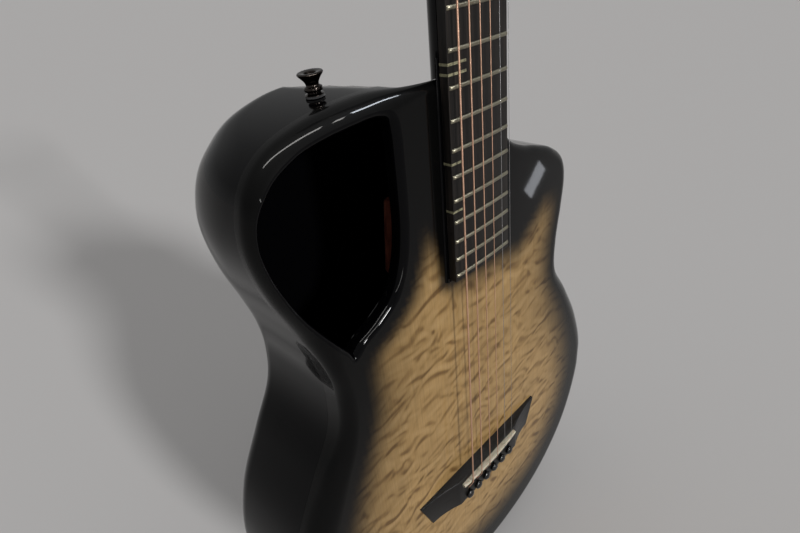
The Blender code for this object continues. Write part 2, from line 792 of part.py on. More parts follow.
def make_bridge(parts, cutters, material):
    wing = [BRIDGE_BLOCK + (BRIDGE_HALF_LENGTH - BRIDGE_BLOCK) * share for share in BRIDGE_SHARES]
    stations = [-x for x in reversed(wing)] + wing
    bridge = place("bridge", lofted("bridge", [bridge_ring(x) for x in stations]), parts, material)
    half_length, half = SADDLE_HALF_LENGTH + SEAT_GAP, SADDLE_THICKNESS / 2 + SEAT_GAP
    slot = box_mesh("saddle_slot", (-half_length, -CUT_OVER, -half), (half_length, SADDLE_SLOT_DEPTH, half))
    slot_cutter = cutter("saddle_slot", slot, cutters)
    saddle_frame(slot_cutter)
    cut(bridge, slot_cutter)
    for index, diameter in enumerate(STRING_DIAMETERS):
        x, z = pin_place(index)
        half = diameter / 2 + SEAT_GAP
        name = f"string_notch_{index + 1}"
        low = (x - half, BRIDGE_FRONT_Y - CUT_OVER, z)
        notch = box_mesh(name, low, (x + half, BRIDGE_FRONT_Y + NOTCH_DEPTH, z + NOTCH_LENGTH))
        cut(bridge, cutter(name, notch, cutters))
    return bridge


def make_pin_holes(bridge, soundboard, cutters):
    for index in range(STRINGS):
        x, z = pin_place(index)
        reach = CUT_THROUGH
        hole = drill(f"pin_hole_{index + 1}", PIN_RADIUS + SEAT_GAP, reach, -reach, cutters, steps=PIN_STEPS)
        hole.location = (x, SOUNDBOARD_Y, z)
        hole.rotation_euler = (QUARTER_TURN, 0.0, 0.0)
        cut(bridge, hole)
        cut(soundboard, hole)


def make_saddle(parts, material):
    half, base = SADDLE_THICKNESS / 2, SADDLE_SLOT_DEPTH - SEAT_GAP
    rings = []
    for fraction in camber_fractions():
        x = SADDLE_HALF_LENGTH * fraction
        top = FRET_TOP_Y + camber_y(x) - ACTION_AT_SADDLE + SEAT_GAP - BRIDGE_FRONT_Y
        crest = half * SADDLE_CREST_SHARE
        section = ((base, -half), (base, half), (top + SADDLE_CREST, half))
        section += ((top, crest), (top, -crest), (top + SADDLE_CREST, -half))
        rings.append([(x, y, z) for y, z in section])
    saddle = place("saddle", lofted("saddle", rings), parts, material)
    saddle_frame(saddle)
    return saddle


def make_bridge_pin(index, parts, material):
    profile = (
        (0.0, PIN_HEAD_HEIGHT),
        (PIN_HEAD_RADIUS * 0.5, PIN_HEAD_HEIGHT * 0.9),
        (PIN_HEAD_RADIUS * 0.87, PIN_HEAD_HEIGHT * 0.55),
        (PIN_HEAD_RADIUS, PIN_HEAD_HEIGHT * 0.2),
        (PIN_HEAD_RADIUS * 0.9, 0.0),
        (PIN_RADIUS, 0.0),
        (PIN_RADIUS * PIN_TAPER, -PIN_LENGTH),
        (0.0, -PIN_LENGTH - PIN_POINT),
    )
    pin = turned(f"bridge_pin_{index + 1}", profile, parts, material, steps=PIN_STEPS)
    x, z = pin_place(index)
    pin.location = (x, BRIDGE_FRONT_Y - SEAT_GAP, z)
    pin.rotation_euler = (QUARTER_TURN, 0.0, 0.0)
    return pin


def open_string(index):
    """The string from its pin over the saddle to the far side of the nut."""
    radius = STRING_DIAMETERS[index] / 2
    pin_x, pin_z = pin_place(index)
    start_z = pin_z + PIN_RADIUS + SEAT_GAP + radius + STRING_START_OFFSET
    start = Vector((pin_x, BRIDGE_FRONT_Y + STRING_START_DEPTH, start_z))
    saddle_x = string_x(index, SADDLE_Z)
    saddle_z = SADDLE_Z + saddle_x * math.tan(SADDLE_TILT)
    saddle = Vector((saddle_x, string_seat_y(index, SADDLE_Z) - radius, saddle_z))
    nut = Vector((string_x(index, NECK_TOP_Z), string_seat_y(index, NUT_Z) - radius, NECK_TOP_Z))
    return [start, start.lerp(saddle, 0.5), saddle, nut]


def wound_string(index, nut):
    """The turns of the string on its post, in the headstock's frame, starting where it meets the post."""
    diameter = STRING_DIAMETERS[index]
    post_x, post_z, side = post_place(index)
    wrap = POST_RADIUS + SEAT_GAP + diameter / 2
    away = Vector((post_x - nut.x, post_z - nut.z))
    lean = math.asin(wrap / away.length)
    first = math.atan2(away.y, away.x) + side * (lean + QUARTER_TURN)
    pitch = diameter + TURN_GAP
    points = []
    for step in range(TURN_POINTS * STRING_TURNS[index] + 1):
        turns = step / TURN_POINTS
        angle = first - side * 2 * math.pi * turns
        x, z = post_x + wrap * math.cos(angle), post_z + wrap * math.sin(angle)
        points.append(Vector((x, pitch * turns - WRAP_HEIGHT, z)))
    last_run = (points[-1] - points[-2]).normalized() * (2 * diameter + TAIL_RUN)
    return points + [points[-1] + last_run]


def make_string(index, parts, headstock_matrix, material):
    """One unbroken string: up from its pin, over the saddle and the nut, and wound on its post."""
    points = open_string(index)
    local_nut = headstock_matrix.inverted() @ points[-1]
    points += [headstock_matrix @ point for point in wound_string(index, local_nut)]
    name = f"string_{index + 1}"
    curve = bpy.data.curves.new(name, "CURVE")
    curve.dimensions = "3D"
    curve.bevel_depth = STRING_DIAMETERS[index] / 2
    curve.bevel_resolution = 1
    curve.use_fill_caps = True
    spline = curve.splines.new("POLY")
    spline.points.add(len(points) - 1)
    for point, target in zip(spline.points, points):
        point.co = (*target, 1.0)
    gap = least_gap(points, STRING_DIAMETERS[index])
    print(f"{name}: least gap to itself {gap * 1000:.2f} mm")
    return place(name, curve, parts, material)


def least_gap(points, diameter):
    """Least gap between two stretches of a tube that lie more than half a turn apart along it."""
    apart = TURN_POINTS // 2
    gaps = [(a - b).length for i, a in enumerate(points) for b in points[i + apart :]]
    return min(gaps) - diameter


def make_tuner(index, parts, cutters, headstock, metal):
    """The housing, the button with its worm, and the post with its wheel, in the headstock's frame."""
    x, z, side = post_place(index)
    seat = HEADSTOCK_THICKNESS + SEAT_GAP
    gear_y = seat + HOUSING_SIZE[1] / 2
    centre = Vector((x + side * HOUSING_OFFSET_X, gear_y, z - HOUSING_OFFSET_Z))
    make_housing(index, parts, cutters, headstock, metal, centre)
    post = turned(f"tuner_post_{index + 1}", post_profile(), parts, metal, headstock, POST_STEPS)
    post.location = (x, gear_y, z)
    post.rotation_euler = (QUARTER_TURN, 0.0, 0.0)

    inner_end = abs(centre.x - x) - HOUSING_SIZE[0] / 2 + HOUSING_WALL + SEAT_GAP
    knob_x = BUTTON_REACH - POST_X
    profile = (
        (0.0, knob_x),
        (BUTTON_SHAFT_RADIUS, knob_x),
        (BUTTON_SHAFT_RADIUS, WORM_HALF_LENGTH),
        (WORM_RADIUS, WORM_HALF_LENGTH),
        (WORM_RADIUS, -WORM_HALF_LENGTH),
        (BUTTON_SHAFT_RADIUS, -WORM_HALF_LENGTH),
        (BUTTON_SHAFT_RADIUS, inner_end),
        (0.0, inner_end),
    )
    button = turned(f"tuner_button_{index + 1}", profile, parts, metal, headstock, POST_STEPS)
    half = Vector(BUTTON_SIZE) / 2
    far = Vector((0.0, 0.0, knob_x))
    name = f"tuner_knob_{index + 1}"
    knob = cutter(name, box_mesh(name, far - half, far + half, BUTTON_BEVEL), cutters, headstock)
    for piece in (button, knob):
        piece.location = (x, gear_y, z - GEAR_CENTRES)
        piece.rotation_euler = (0.0, side * QUARTER_TURN, 0.0)
    cut(button, knob, "UNION")


def make_housing(index, parts, cutters, headstock, metal, centre):
    """A hollow box behind the headstock, open where the post and the button's shaft go in."""
    x, z, side = post_place(index)
    half = Vector(HOUSING_SIZE) / 2
    wall = Vector((HOUSING_WALL, HOUSING_WALL, HOUSING_WALL))
    name = f"tuner_housing_{index + 1}"
    housing = place(name, box_mesh(name, -half, half, HOUSING_BEVEL), parts, metal, headstock)
    name = f"tuner_hollow_{index + 1}"
    hollow = cutter(name, box_mesh(name, wall - half, half - wall), cutters, headstock)
    for piece in (housing, hollow):
        piece.location = centre
    cut(housing, hollow)

    way = POST_SHAFT_RADIUS + SEAT_GAP
    name = f"housing_post_hole_{index + 1}"
    post_hole = drill(name, way, half.y + CUT_OVER, 0.0, cutters, headstock, POST_STEPS)
    post_hole.location = (x, centre.y, z)
    post_hole.rotation_euler = (QUARTER_TURN, 0.0, 0.0)
    cut(housing, post_hole)
    way = BUTTON_SHAFT_RADIUS + SEAT_GAP
    name = f"housing_shaft_hole_{index + 1}"
    shaft_hole = drill(name, way, half.x + CUT_OVER, 0.0, cutters, headstock, POST_STEPS)
    shaft_hole.location = (x, centre.y, z - GEAR_CENTRES)
    shaft_hole.rotation_euler = (0.0, side * QUARTER_TURN, 0.0)
    cut(housing, shaft_hole)


def post_profile():
    """The post from its head down past the wheel, with heights from the middle of the wheel."""
    half = WHEEL_THICKNESS / 2
    foot = HOUSING_WALL + SEAT_GAP - HOUSING_SIZE[1] / 2
    wrap = HOUSING_SIZE[1] / 2 + HEADSTOCK_THICKNESS + SEAT_GAP + WRAP_HEIGHT
    top = HOUSING_SIZE[1] / 2 + HEADSTOCK_THICKNESS + SEAT_GAP + POST_HEIGHT
    clear = HOUSING_SIZE[1] / 2 + HEADSTOCK_THICKNESS + SEAT_GAP + POST_HEAD_ABOVE_WRAP
    return (
        (0.0, top),
        (POST_HEAD_RADIUS - POST_HEAD_CHAMFER, top),
        (POST_HEAD_RADIUS, top - POST_HEAD_CHAMFER),
        (POST_HEAD_RADIUS, wrap + POST_HEAD_ABOVE_WRAP),
        (POST_RADIUS, wrap + POST_HEAD_ABOVE_WRAP - POST_TAPER),
        (POST_RADIUS, clear),
        (POST_SHAFT_RADIUS, clear - POST_NECK_HEIGHT),
        (POST_SHAFT_RADIUS, half),
        (WHEEL_RADIUS, half),
        (WHEEL_RADIUS, -half),
        (BUTTON_SHAFT_RADIUS, -half),
        (BUTTON_SHAFT_RADIUS, foot),
        (0.0, foot),
    )


def make_strap_button(name, location, rotation, shell, parts, cutters, material):
    """A strap button with its screw, which passes through a hole in the wall of the shell."""
    screw = ((SCREW_RADIUS, 0.0), (SCREW_RADIUS, -SCREW_LENGTH), (0.0, -SCREW_LENGTH))
    button = turned(name, STRAP_PROFILE + screw, parts, material, steps=STRAP_STEPS)
    way = SCREW_RADIUS + SEAT_GAP
    hole = drill(f"{name}_hole", way, CUT_OVER, -SCREW_LENGTH - CUT_OVER, cutters, steps=STRAP_STEPS)
    for piece in (button, hole):
        piece.location = location
        piece.rotation_euler = rotation
    cut(shell, hole)
    return button


def make_hatch(shell, parts, cutters, material):
    """The round cover in the back, flush with it and resting on a rebate."""
    frame = bpy.data.objects.new("back_plane", None)
    parts.objects.link(frame)
    frame.location = (HATCH_X, back_y(HATCH_Z), HATCH_Z)
    frame.rotation_euler = (math.atan(BACK_SLOPE) - QUARTER_TURN, 0.0, 0.0)
    flange = HATCH_RADIUS + HATCH_FLANGE
    wide, narrow = flange + SEAT_GAP, HATCH_RADIUS + SEAT_GAP
    steps = ((0.0, CUT_OVER), (wide, CUT_OVER), (wide, -HATCH_REBATE), (narrow, -HATCH_REBATE))
    steps += ((narrow, -CUT_OVER), (0.0, -CUT_OVER))
    way = turned("hatch_way", steps, cutters, parent=frame, steps=40)
    way.hide_render = True
    way.display_type = "WIRE"
    cut(shell, way)
    seat = SEAT_GAP - HATCH_REBATE
    cover = (
        (0.0, 0.0),
        (flange - HATCH_CHAMFER, 0.0),
        (flange, -HATCH_CHAMFER),
        (flange, seat),
        (HATCH_RADIUS, seat),
        (HATCH_RADIUS, -HATCH_DEPTH),
        (0.0, -HATCH_DEPTH),
    )
    turned("hatch_cover", cover, parts, material, frame, steps=40)


def main():
    clear_scene()
    parts = new_collection("acoustic_guitar")
    cutters = new_collection("cutters")
    black = finish("black_lacquer", (0.004, 0.004, 0.005), 0.12)
    maple = finish("quilted_maple", (0.46, 0.29, 0.13), 0.16)
    ebony = finish("ebony", (0.012, 0.010, 0.009), 0.42)
    nickel = finish("nickel_silver", (0.62, 0.60, 0.55), 0.25, 1.0)
    bone = finish("bone", (0.78, 0.73, 0.60), 0.4)
    bronze = finish("phosphor_bronze", (0.72, 0.42, 0.22), 0.3, 1.0)
    steel = finish("plain_steel", (0.6, 0.6, 0.6), 0.25, 1.0)
    dark_chrome = finish("dark_chrome", (0.06, 0.055, 0.05), 0.18, 1.0)

    headstock = bpy.data.objects.new("headstock_frame", None)
    parts.objects.link(headstock)
    headstock.location = (0.0, NECK_FRONT_Y, NECK_TOP_Z)
    headstock.rotation_euler = (-HEADSTOCK_TILT, 0.0, 0.0)
    headstock_matrix = Matrix.Translation(headstock.location) @ Matrix.Rotation(-HEADSTOCK_TILT, 4, "X")

    soundboard = make_soundboard(parts, cutters, maple)
    shell = make_body_shell(parts, black)
    half = TENON_HALF_WIDTH + SEAT_GAP
    pocket_low = (-half, SOUNDBOARD_Y - CUT_OVER, SHOULDER_Z - TENON_LENGTH - SEAT_GAP)
    pocket_high = (half, NECK_FRONT_Y + TENON_DEPTH + SEAT_GAP, SHOULDER_Z + CUT_OVER)
    pocket = box_mesh("neck_pocket", pocket_low, pocket_high)
    cut(soundboard, cutter("neck_pocket", pocket, cutters))
    make_neck(parts, cutters, headstock, black)
    make_fretboard(parts, cutters, ebony)
    for number in range(1, FRET_COUNT + 1):
        make_fret(number, parts, nickel)
    make_nut(parts, cutters, bone)
    bridge = make_bridge(parts, cutters, ebony)
    make_pin_holes(bridge, soundboard, cutters)
    make_saddle(parts, bone)
    for index in range(STRINGS):
        make_bridge_pin(index, parts, ebony)
        make_string(index, parts, headstock_matrix, bronze if index < WOUND_STRINGS else steel)
        make_tuner(index, parts, cutters, headstock, dark_chrome)
    make_hatch(shell, parts, cutters, black)
    seat_z, slope = shoulder_seat(STRAP_SHOULDER_X)
    shoulder = (STRAP_SHOULDER_X, STRAP_SHOULDER_Y, seat_z + SEAT_GAP)
    make_strap_button("strap_button_shoulder", shoulder, (0.0, -slope, 0.0), shell, parts, cutters, dark_chrome)
    tail = (0.0, STRAP_TAIL_Y, -SEAT_GAP)
    make_strap_button("strap_button_tail", tail, (math.pi, 0.0, 0.0), shell, parts, cutters, dark_chrome)


main()
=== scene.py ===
"""The looks of a steel-string acoustic guitar: a moulded black body, a figured wood top, an offset soundhole.

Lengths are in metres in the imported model's frame: +Z runs up the neck, the soundboard faces -Y and +X is
the treble side. Each class holds the sizes of one sub-assembly and builds and dresses its pieces.
"""

import logging
import math
from dataclasses import dataclass
from enum import Enum
from functools import cached_property
from typing import Any, Iterable, Sequence

import bmesh
import bpy
import numpy as np
from bmesh.types import BMEdge, BMesh, BMFace, BMVert
from bpy.types import Node, NodeSocket, NodeTree, Object
from mathutils import Matrix, Vector


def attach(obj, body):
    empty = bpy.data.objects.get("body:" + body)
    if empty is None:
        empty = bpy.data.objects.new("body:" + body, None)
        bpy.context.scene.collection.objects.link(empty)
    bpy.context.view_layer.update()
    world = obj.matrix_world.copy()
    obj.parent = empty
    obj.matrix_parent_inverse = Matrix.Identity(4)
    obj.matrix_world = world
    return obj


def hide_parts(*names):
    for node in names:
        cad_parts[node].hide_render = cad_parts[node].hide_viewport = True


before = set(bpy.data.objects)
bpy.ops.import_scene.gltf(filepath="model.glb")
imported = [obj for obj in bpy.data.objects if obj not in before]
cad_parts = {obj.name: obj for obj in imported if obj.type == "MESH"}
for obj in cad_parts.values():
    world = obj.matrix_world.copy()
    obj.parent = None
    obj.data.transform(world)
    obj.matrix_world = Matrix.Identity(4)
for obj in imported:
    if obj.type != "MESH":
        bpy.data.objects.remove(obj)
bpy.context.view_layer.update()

LOG = logging.getLogger("guitar")
MM = 0.001
QUARTER_TURN = math.pi / 2
FULL_TURN = 2 * math.pi
FIXED_BODY = "guitar"

Colour = tuple[float, float, float, float]
Pair = tuple[float, float]
Place = tuple[float, float, float]
Ring = list[BMVert]
Places = Sequence[Vector]
Socket = NodeSocket
Corner = Sequence[float]


class Slot(Enum):
    """Material slots of the record."""

    BODY = "black_lacquer"
    NECK = "black_lacquer_neck"
    TOP = "quilted_maple"
    FRETBOARD = "ebony_fretboard"
    BRIDGE = "ebony_bridge"
    HATCH = "hatch_black"
    BONE = "bone"
    PIN = "pin_black"
    FRET = "fret_nickel"
    WOUND = "bronze_winding"
    PLAIN = "plain_steel"
    HARDWARE = "dark_chrome"


# Colour and nodes


def linear_colour(code: str) -> Colour:
    """Turns an sRGB hex colour into a linear one.

    Args:
        code: The colour as #RRGGBB.

    Returns:
        Red, green, blue and an alpha of 1.
    """
    values = [int(code[i : i + 2], 16) / 255 for i in (1, 3, 5)]
    red, green, blue = (v / 12.92 if v <= 0.04045 else ((v + 0.055) / 1.055) ** 2.4 for v in values)
    return red, green, blue, 1.0


def add_node(
    tree: NodeTree,
    kind: str,
    inputs: dict[str | int, Any] | None = None,
    stops: Iterable[tuple[float, Colour]] = (),
    **settings: Any,
) -> Node:
    """Adds a node with its settings, values and links.

    Args:
        tree: The node tree it goes in.
        kind: The node's type name.
        inputs: Values or linked sockets, by the input's name or number.
        stops: Position and colour of each stop, for a colour ramp.
        **settings: The node's own properties.

    Returns:
        The new node.
    """
    node = tree.nodes.new(kind)
    for name, value in settings.items():
        setattr(node, name, value)
    for number, (position, colour) in enumerate(stops):
        elements = node.color_ramp.elements
        if number == 0:
            elements.remove(elements[-1])
            elements[0].position, elements[0].color = position, colour
        else:
            elements.new(position).color = colour
    for key, value in (inputs or {}).items():
        if isinstance(value, Socket):
            tree.links.new(value, node.inputs[key])
        else:
            node.inputs[key].default_value = value
    return node


@dataclass(frozen=True)
class Recipe:
    """The nodes of one material, with the steps that the finishes share."""

    tree: NodeTree
    shader: Node

    def place(self, size: float | Sequence[float], turn: float = 0.0) -> Socket:
        """Object coordinates in which one unit is one feature of a pattern.

        Args:
            size: Size of a feature, or its sizes along x, y and z.
            turn: How far the pattern is turned about y.

        Returns:
            The vector socket that a texture reads.
        """
        sizes = (size,) * 3 if isinstance(size, float) else size
        place = add_node(self.tree, "ShaderNodeTexCoord").outputs["Object"]
        for change in ({"Rotation": (0.0, turn, 0.0)}, {"Scale": tuple(1.0 / length for length in sizes)}):
            place = add_node(self.tree, "ShaderNodeMapping", {"Vector": place, **change}).outputs[0]
        return place

    def noise_at(self, place: Socket, detail: float, **more: float) -> Node:
        """A noise that reads the given coordinates, with further values of its own inputs."""
        inputs = {"Vector": place, "Scale": 1.0, "Detail": detail, **more}
        return add_node(self.tree, "ShaderNodeTexNoise", inputs)

    def noise(self, size: float | Sequence[float], detail: float = 2.0, **more: float) -> Socket:
        """The value of a noise whose features have the given size."""
        return self.noise_at(self.place(size), detail, **more).outputs["Fac"]

    def moved(self, place: Socket, way: Any) -> Socket:
        """Coordinates moved by a vector or by another socket's colour."""
        return add_node(self.tree, "ShaderNodeVectorMath", {0: way, 1: place}, operation="ADD").outputs[0]

    def maths(self, operation: str, *values: Any) -> Socket:
        """One step of arithmetic on values or sockets."""
        return add_node(self.tree, "ShaderNodeMath", dict(enumerate(values)), operation=operation).outputs[0]

    def attribute(self, name: str) -> Socket:
        """The value of one of the mesh's own attributes."""
        return add_node(self.tree, "ShaderNodeAttribute", attribute_name=name).outputs["Fac"]

    def spread(
        self, value: Socket, low: float, high: float, to_low: float = 0.0, to_high: float = 1.0
    ) -> Socket:
        """A value whose range from low to high is stretched to another."""
        ends = {"From Min": low, "From Max": high, "To Min": to_low, "To Max": to_high}
        return add_node(self.tree, "ShaderNodeMapRange", {"Value": value, **ends}).outputs[0]

    def ramp(self, value: Socket, *stops: tuple[float, str]) -> Socket:
        """Hex colours along a value."""
        colours = [(position, linear_colour(code)) for position, code in stops]
        return add_node(self.tree, "ShaderNodeValToRGB", {"Fac": value}, colours).outputs["Color"]

    def blend(self, share: Any, first: Any, second: Any, kind: str = "MIX") -> Socket:
        """Two colours, mixed by a share of the second."""
        inputs = {0: share, 6: first, 7: second}
        return add_node(self.tree, "ShaderNodeMix", inputs, data_type="RGBA", blend_type=kind).outputs[2]

    def bump(self, height: Socket, strength: float, distance: float) -> Socket:
        """The normals over a relief."""
        inputs = {"Height": height, "Strength": strength, "Distance": distance}
        return add_node(self.tree, "ShaderNodeBump", inputs).outputs[0]

    def finish(self, **values: Any) -> None:
        """Sets or links the shader's sockets.

        Args:
            **values: A value or a socket for each, named with underscores for spaces.
        """
        for name, value in values.items():
            socket = self.shader.inputs[name.replace("_", " ")]
            if isinstance(value, Socket):
                self.tree.links.new(value, socket)
            else:
                socket.default_value = value


# Finishes


@dataclass(frozen=True)
class Finish:
    """A finish that makes its material once and hands out the same one after that."""

    name: str

    def material(self) -> bpy.types.Material:
        """Finds or makes the material.

        Returns:
            The material of this finish.
        """
        made = bpy.data.materials.get(self.name)
        if made is None:
            made = bpy.data.materials.new(self.name)
            made.use_nodes = True
            self.dress(Recipe(made.node_tree, made.node_tree.nodes["Principled BSDF"]))
        return made

    def dress(self, recipe: Recipe) -> None:
        """Each finish sets up its nodes here."""
        raise NotImplementedError


@dataclass(frozen=True)
class PolishedLacquer(Finish):
    """Polyester lacquer over black, sanded and buffed: deep black with sharp, faintly wavy reflections."""

    colour: str = "#040405"
    gloss: float = 0.045
    ripple: float = 5 * MM
    ripple_depth: float = 0.004 * MM
    haze: float = 30 * MM
    ior: float = 1.2

    def dress(self, recipe: Recipe) -> None:
        """Black with a wide, shallow ripple left by sanding and a trace of haze from polishing cloths.

        Args:
            recipe: The material's nodes.
        """
        waves = recipe.noise(self.ripple, 1.0, Roughness=0.4)
        recipe.finish(
            Base_Color=linear_colour(self.colour),
            IOR=self.ior,
            Normal=recipe.bump(waves, 1.0, self.ripple_depth),
            Roughness=recipe.spread(recipe.noise(self.haze, 3.0), 0.3, 0.8, self.gloss, self.gloss * 1.6),
        )


@dataclass(frozen=True)
class BurstMaple(Finish):
    """Quilted maple, stained black in from the edge and lacquered, with painted light and shade on its
    pillows under gloss.
    """

    light: str = "#A18459"
    pale: str = "#95784D"
    middle: str = "#82663F"
    dark: str = "#674D2D"
    burst: str = "#040404"
    pillow: Place = (22 * MM, 40 * MM, 13 * MM)
    slope_step: Place = (0.06, 0.0, 0.24)
    wander: float = 0.35
    relief: float = 0.27
    cloud: float = 45 * MM
    fibre: Place = (0.9 * MM, 3 * MM, 30 * MM)
    ripple: float = 7 * MM
    ripple_depth: float = 0.004 * MM
    tilt: float = math.radians(9)

    def dress(self, recipe: Recipe) -> None:
        """Painted light and shade on short pillows that lean across the grain, clouds of tone, fine fibre and
        the burst.

        Args:
            recipe: The material's nodes.
        """
        tones = ((0.12, self.dark), (0.32, self.middle), (0.46, self.pale), (0.85, self.light))
        shaded = recipe.ramp(self.painted_pillow_shade(recipe), *tones)
        tone = recipe.maths("ADD", recipe.noise(self.cloud), recipe.noise(self.fibre))
        wood = recipe.blend(1.0, shaded, recipe.spread(tone, 0.6, 1.4, 0.78, 1.14), "MULTIPLY")
        recipe.finish(
            Base_Color=recipe.blend(recipe.attribute("burst"), wood, linear_colour(self.burst)),
            Coat_Normal=recipe.bump(recipe.noise(self.ripple, 1.0), 1.0, self.ripple_depth),
            Roughness=0.45,
            Specular_IOR_Level=0.03,
            Coat_Weight=1.0,
            Coat_Roughness=0.035,
            Coat_IOR=1.2,
        )

    def painted_pillow_shade(self, recipe: Recipe) -> Socket:
        """The painted shade of the quilt: how much each spot of a made-up relief leans to a fixed light, from
        0 to 1.

        Args:
            recipe: The material's nodes.

        Returns:
            The value socket of the painted shade.
        """
        base = recipe.place(self.pillow, self.tilt)
        bent = recipe.moved(base, recipe.noise_at(base, 1.0, Scale=self.wander).outputs["Color"])
        heights = []
        # Painted shade: the same noise read a short step apart and subtracted darkens one slope of each
        # pillow and lightens the other.
        for place in (bent, recipe.moved(bent, self.slope_step)):
            heights.append(recipe.noise_at(place, 1.2, Roughness=0.45, Distortion=0.8).outputs["Fac"])
        return recipe.spread(recipe.maths("SUBTRACT", *heights), -self.relief, self.relief)


@dataclass(frozen=True)
class WovenShell(Finish):
    """Fibre cloth in resin, as it came from the mould: a matt dark twill with a painted dull sheen on each
    bundle.
    """

    bundle: float = 2.0 * MM
    painted_sheen: str = "#A8ACAE"
    side: str = "#6A6E70"
    resin: str = "#3C4042"

    def dress(self, recipe: Recipe) -> None:
        """A twill of bundles, each a little lighter along its top from a painted sheen, under thin resin.

        Args:
            recipe: The material's nodes.
        """
        place = recipe.place(self.bundle, math.radians(45))
        # The lighter checker colour is a painted sheen on the bundles.
        colours = {"Color1": linear_colour(self.painted_sheen), "Color2": linear_colour(self.side)}
        check = add_node(recipe.tree, "ShaderNodeTexChecker", {"Vector": place, "Scale": 1.0, **colours})
        blotch = recipe.noise_at(place, 3.0, Scale=0.4).outputs["Fac"]
        recipe.finish(
            Base_Color=recipe.blend(blotch, check.outputs["Color"], linear_colour(self.resin)),
            Normal=recipe.bump(check.outputs["Fac"], 0.4, 0.1 * MM),
            Roughness=0.7,
        )


@dataclass(frozen=True)
class OiledEbony(Finish):
    """Ebony, scraped and oiled: near black with thin brown streaks along the grain and a soft sheen."""

    ground: str = "#191614"
    streak: str = "#28221E"
    pore: str = "#0C0A09"
    grain: Place = (0.9 * MM, 3 * MM, 60 * MM)
    pores: Place = (0.35 * MM, 1 * MM, 5 * MM)
    sheen: float = 0.42

    def dress(self, recipe: Recipe) -> None:
        """Streaks and open pores that run along the grain, and a roughness that follows the streaks.

        Args:
            recipe: The material's nodes.
        """
        streaks = recipe.noise(self.grain, 3.0, Distortion=0.3)
        depth = recipe.spread(recipe.noise(self.pores, 1.0), 0.58, 0.72)
        wood = recipe.ramp(streaks, (0.3, self.pore), (0.5, self.ground), (0.72, self.streak))
        recipe.finish(
            Base_Color=recipe.blend(depth, wood, linear_colour(self.pore)),
            Roughness=recipe.spread(streaks, 0.3, 0.7, self.sheen - 0.06, self.sheen + 0.1),
            Normal=recipe.bump(depth, 0.25, -0.05 * MM),
            IOR=1.3,
        )


@dataclass(frozen=True)
class BareMetal(Finish):
    """A drawn, cast or plated metal: its colour, and fine lines left by the polishing wheel."""

    colour: str
    gloss: float
    line: Place = (0.2 * MM, 0.2 * MM, 4 * MM)
    unevenness: float = 0.3
    tarnish: float = 4 * MM
    metallic: float = 1.0

    def dress(self, recipe: Recipe) -> None:
        """Lines that change the roughness a little, over a colour with faint tarnish.

        Args:
            recipe: The material's nodes.
        """
        smooth, rough = self.gloss * (1 - self.unevenness), self.gloss * (1 + self.unevenness)
        shade = recipe.spread(recipe.noise(self.tarnish, 3.0), 0.3, 0.7, 0.82, 1.0)
        recipe.finish(
            Base_Color=recipe.blend(1.0, linear_colour(self.colour), shade, "MULTIPLY"),
            Roughness=recipe.spread(recipe.noise(self.line), 0.3, 0.7, smooth, rough),
            Metallic=self.metallic,
        )


@dataclass(frozen=True)
class WoundBronze(BareMetal):
    """Bronze wire wound on a steel core: a warm line crossed by a fine thread, at twice its real pitch."""

    metallic: float = 0.6
    pitch: float = 0.7 * MM

    def dress(self, recipe: Recipe) -> None:
        """The metal, with a thread that follows the string's own length.

        Args:
            recipe: The material's nodes.
        """
        super().dress(recipe)
        turns = recipe.maths("MULTIPLY", recipe.attribute("along"), FULL_TURN / self.pitch)
        recipe.finish(Normal=recipe.bump(recipe.maths("SINE", turns), 0.6, 0.05 * MM))


@dataclass(frozen=True)
class CutBone(Finish):
    """Bleached bone, filed and polished: off-white, slightly see-through, with short pores along it."""

    colours: tuple[str, str, str] = ("#9C927A", "#BDB5A0", "#CCC5B2")
    pores: Place = (4 * MM, 0.6 * MM, 0.6 * MM)

    def dress(self, recipe: Recipe) -> None:
        """Off-white with darker pores and a low sheen.

        Args:
            recipe: The material's nodes.
        """
        recipe.finish(
            Base_Color=recipe.ramp(recipe.noise(self.pores, 3.0), *zip((0.32, 0.5, 0.8), self.colours)),
            Roughness=0.32,
            Subsurface_Weight=0.15,
            Subsurface_Scale=0.5 * MM,
        )


@dataclass(frozen=True)
class MouldedPlastic(Finish):
    """Moulded or turned ABS: one colour through the part, with a faint grain and a soft highlight."""

    colour: str = "#0E0E0F"
    sheen: float = 0.25
    grit: float = 0.5 * MM

    def dress(self, recipe: Recipe) -> None:
        """A fine grain in height and in gloss.

        Args:
            recipe: The material's nodes.
        """
        grain = recipe.noise(self.grit)
        recipe.finish(
            Base_Color=linear_colour(self.colour),
            Roughness=recipe.spread(grain, 0.3, 0.7, self.sheen * 0.85, self.sheen * 1.2),
            Normal=recipe.bump(grain, 0.1, 0.02 * MM),
        )


@dataclass(frozen=True)
class VarnishedMahogany(Finish):
    """Mahogany under gloss varnish: red-brown with dark pores along the bar and a hard highlight."""

    colours: tuple[str, str, str] = ("#34160E", "#5E3023", "#7C4A38")
    ribbon: Place = (1.5 * MM, 2 * MM, 18 * MM)

    def dress(self, recipe: Recipe) -> None:
        """Pores and ribbons of tone that run along the bar.

        Args:
            recipe: The material's nodes.
        """
        recipe.finish(
            Base_Color=recipe.ramp(recipe.noise(self.ribbon, 3.0), *zip((0.3, 0.55, 0.8), self.colours)),
            Roughness=0.35,
            Coat_Weight=1.0,
            Coat_Roughness=0.08,
        )


@dataclass(frozen=True)
class AgedShell(Finish):
    """Shell strip, cut and sanded flush: dull yellow-grey with cloudy bands."""

    colours: tuple[str, str] = ("#5D5A44", "#9A9678")
    band: Place = (3 * MM, 1 * MM, 1 * MM)

    def dress(self, recipe: Recipe) -> None:
        """Cloudy bands of two tones under a satin sheen."""
        bands = recipe.ramp(recipe.noise(self.band), *zip((0.3, 0.7), self.colours))
        recipe.finish(Base_Color=bands, Roughness=0.35)


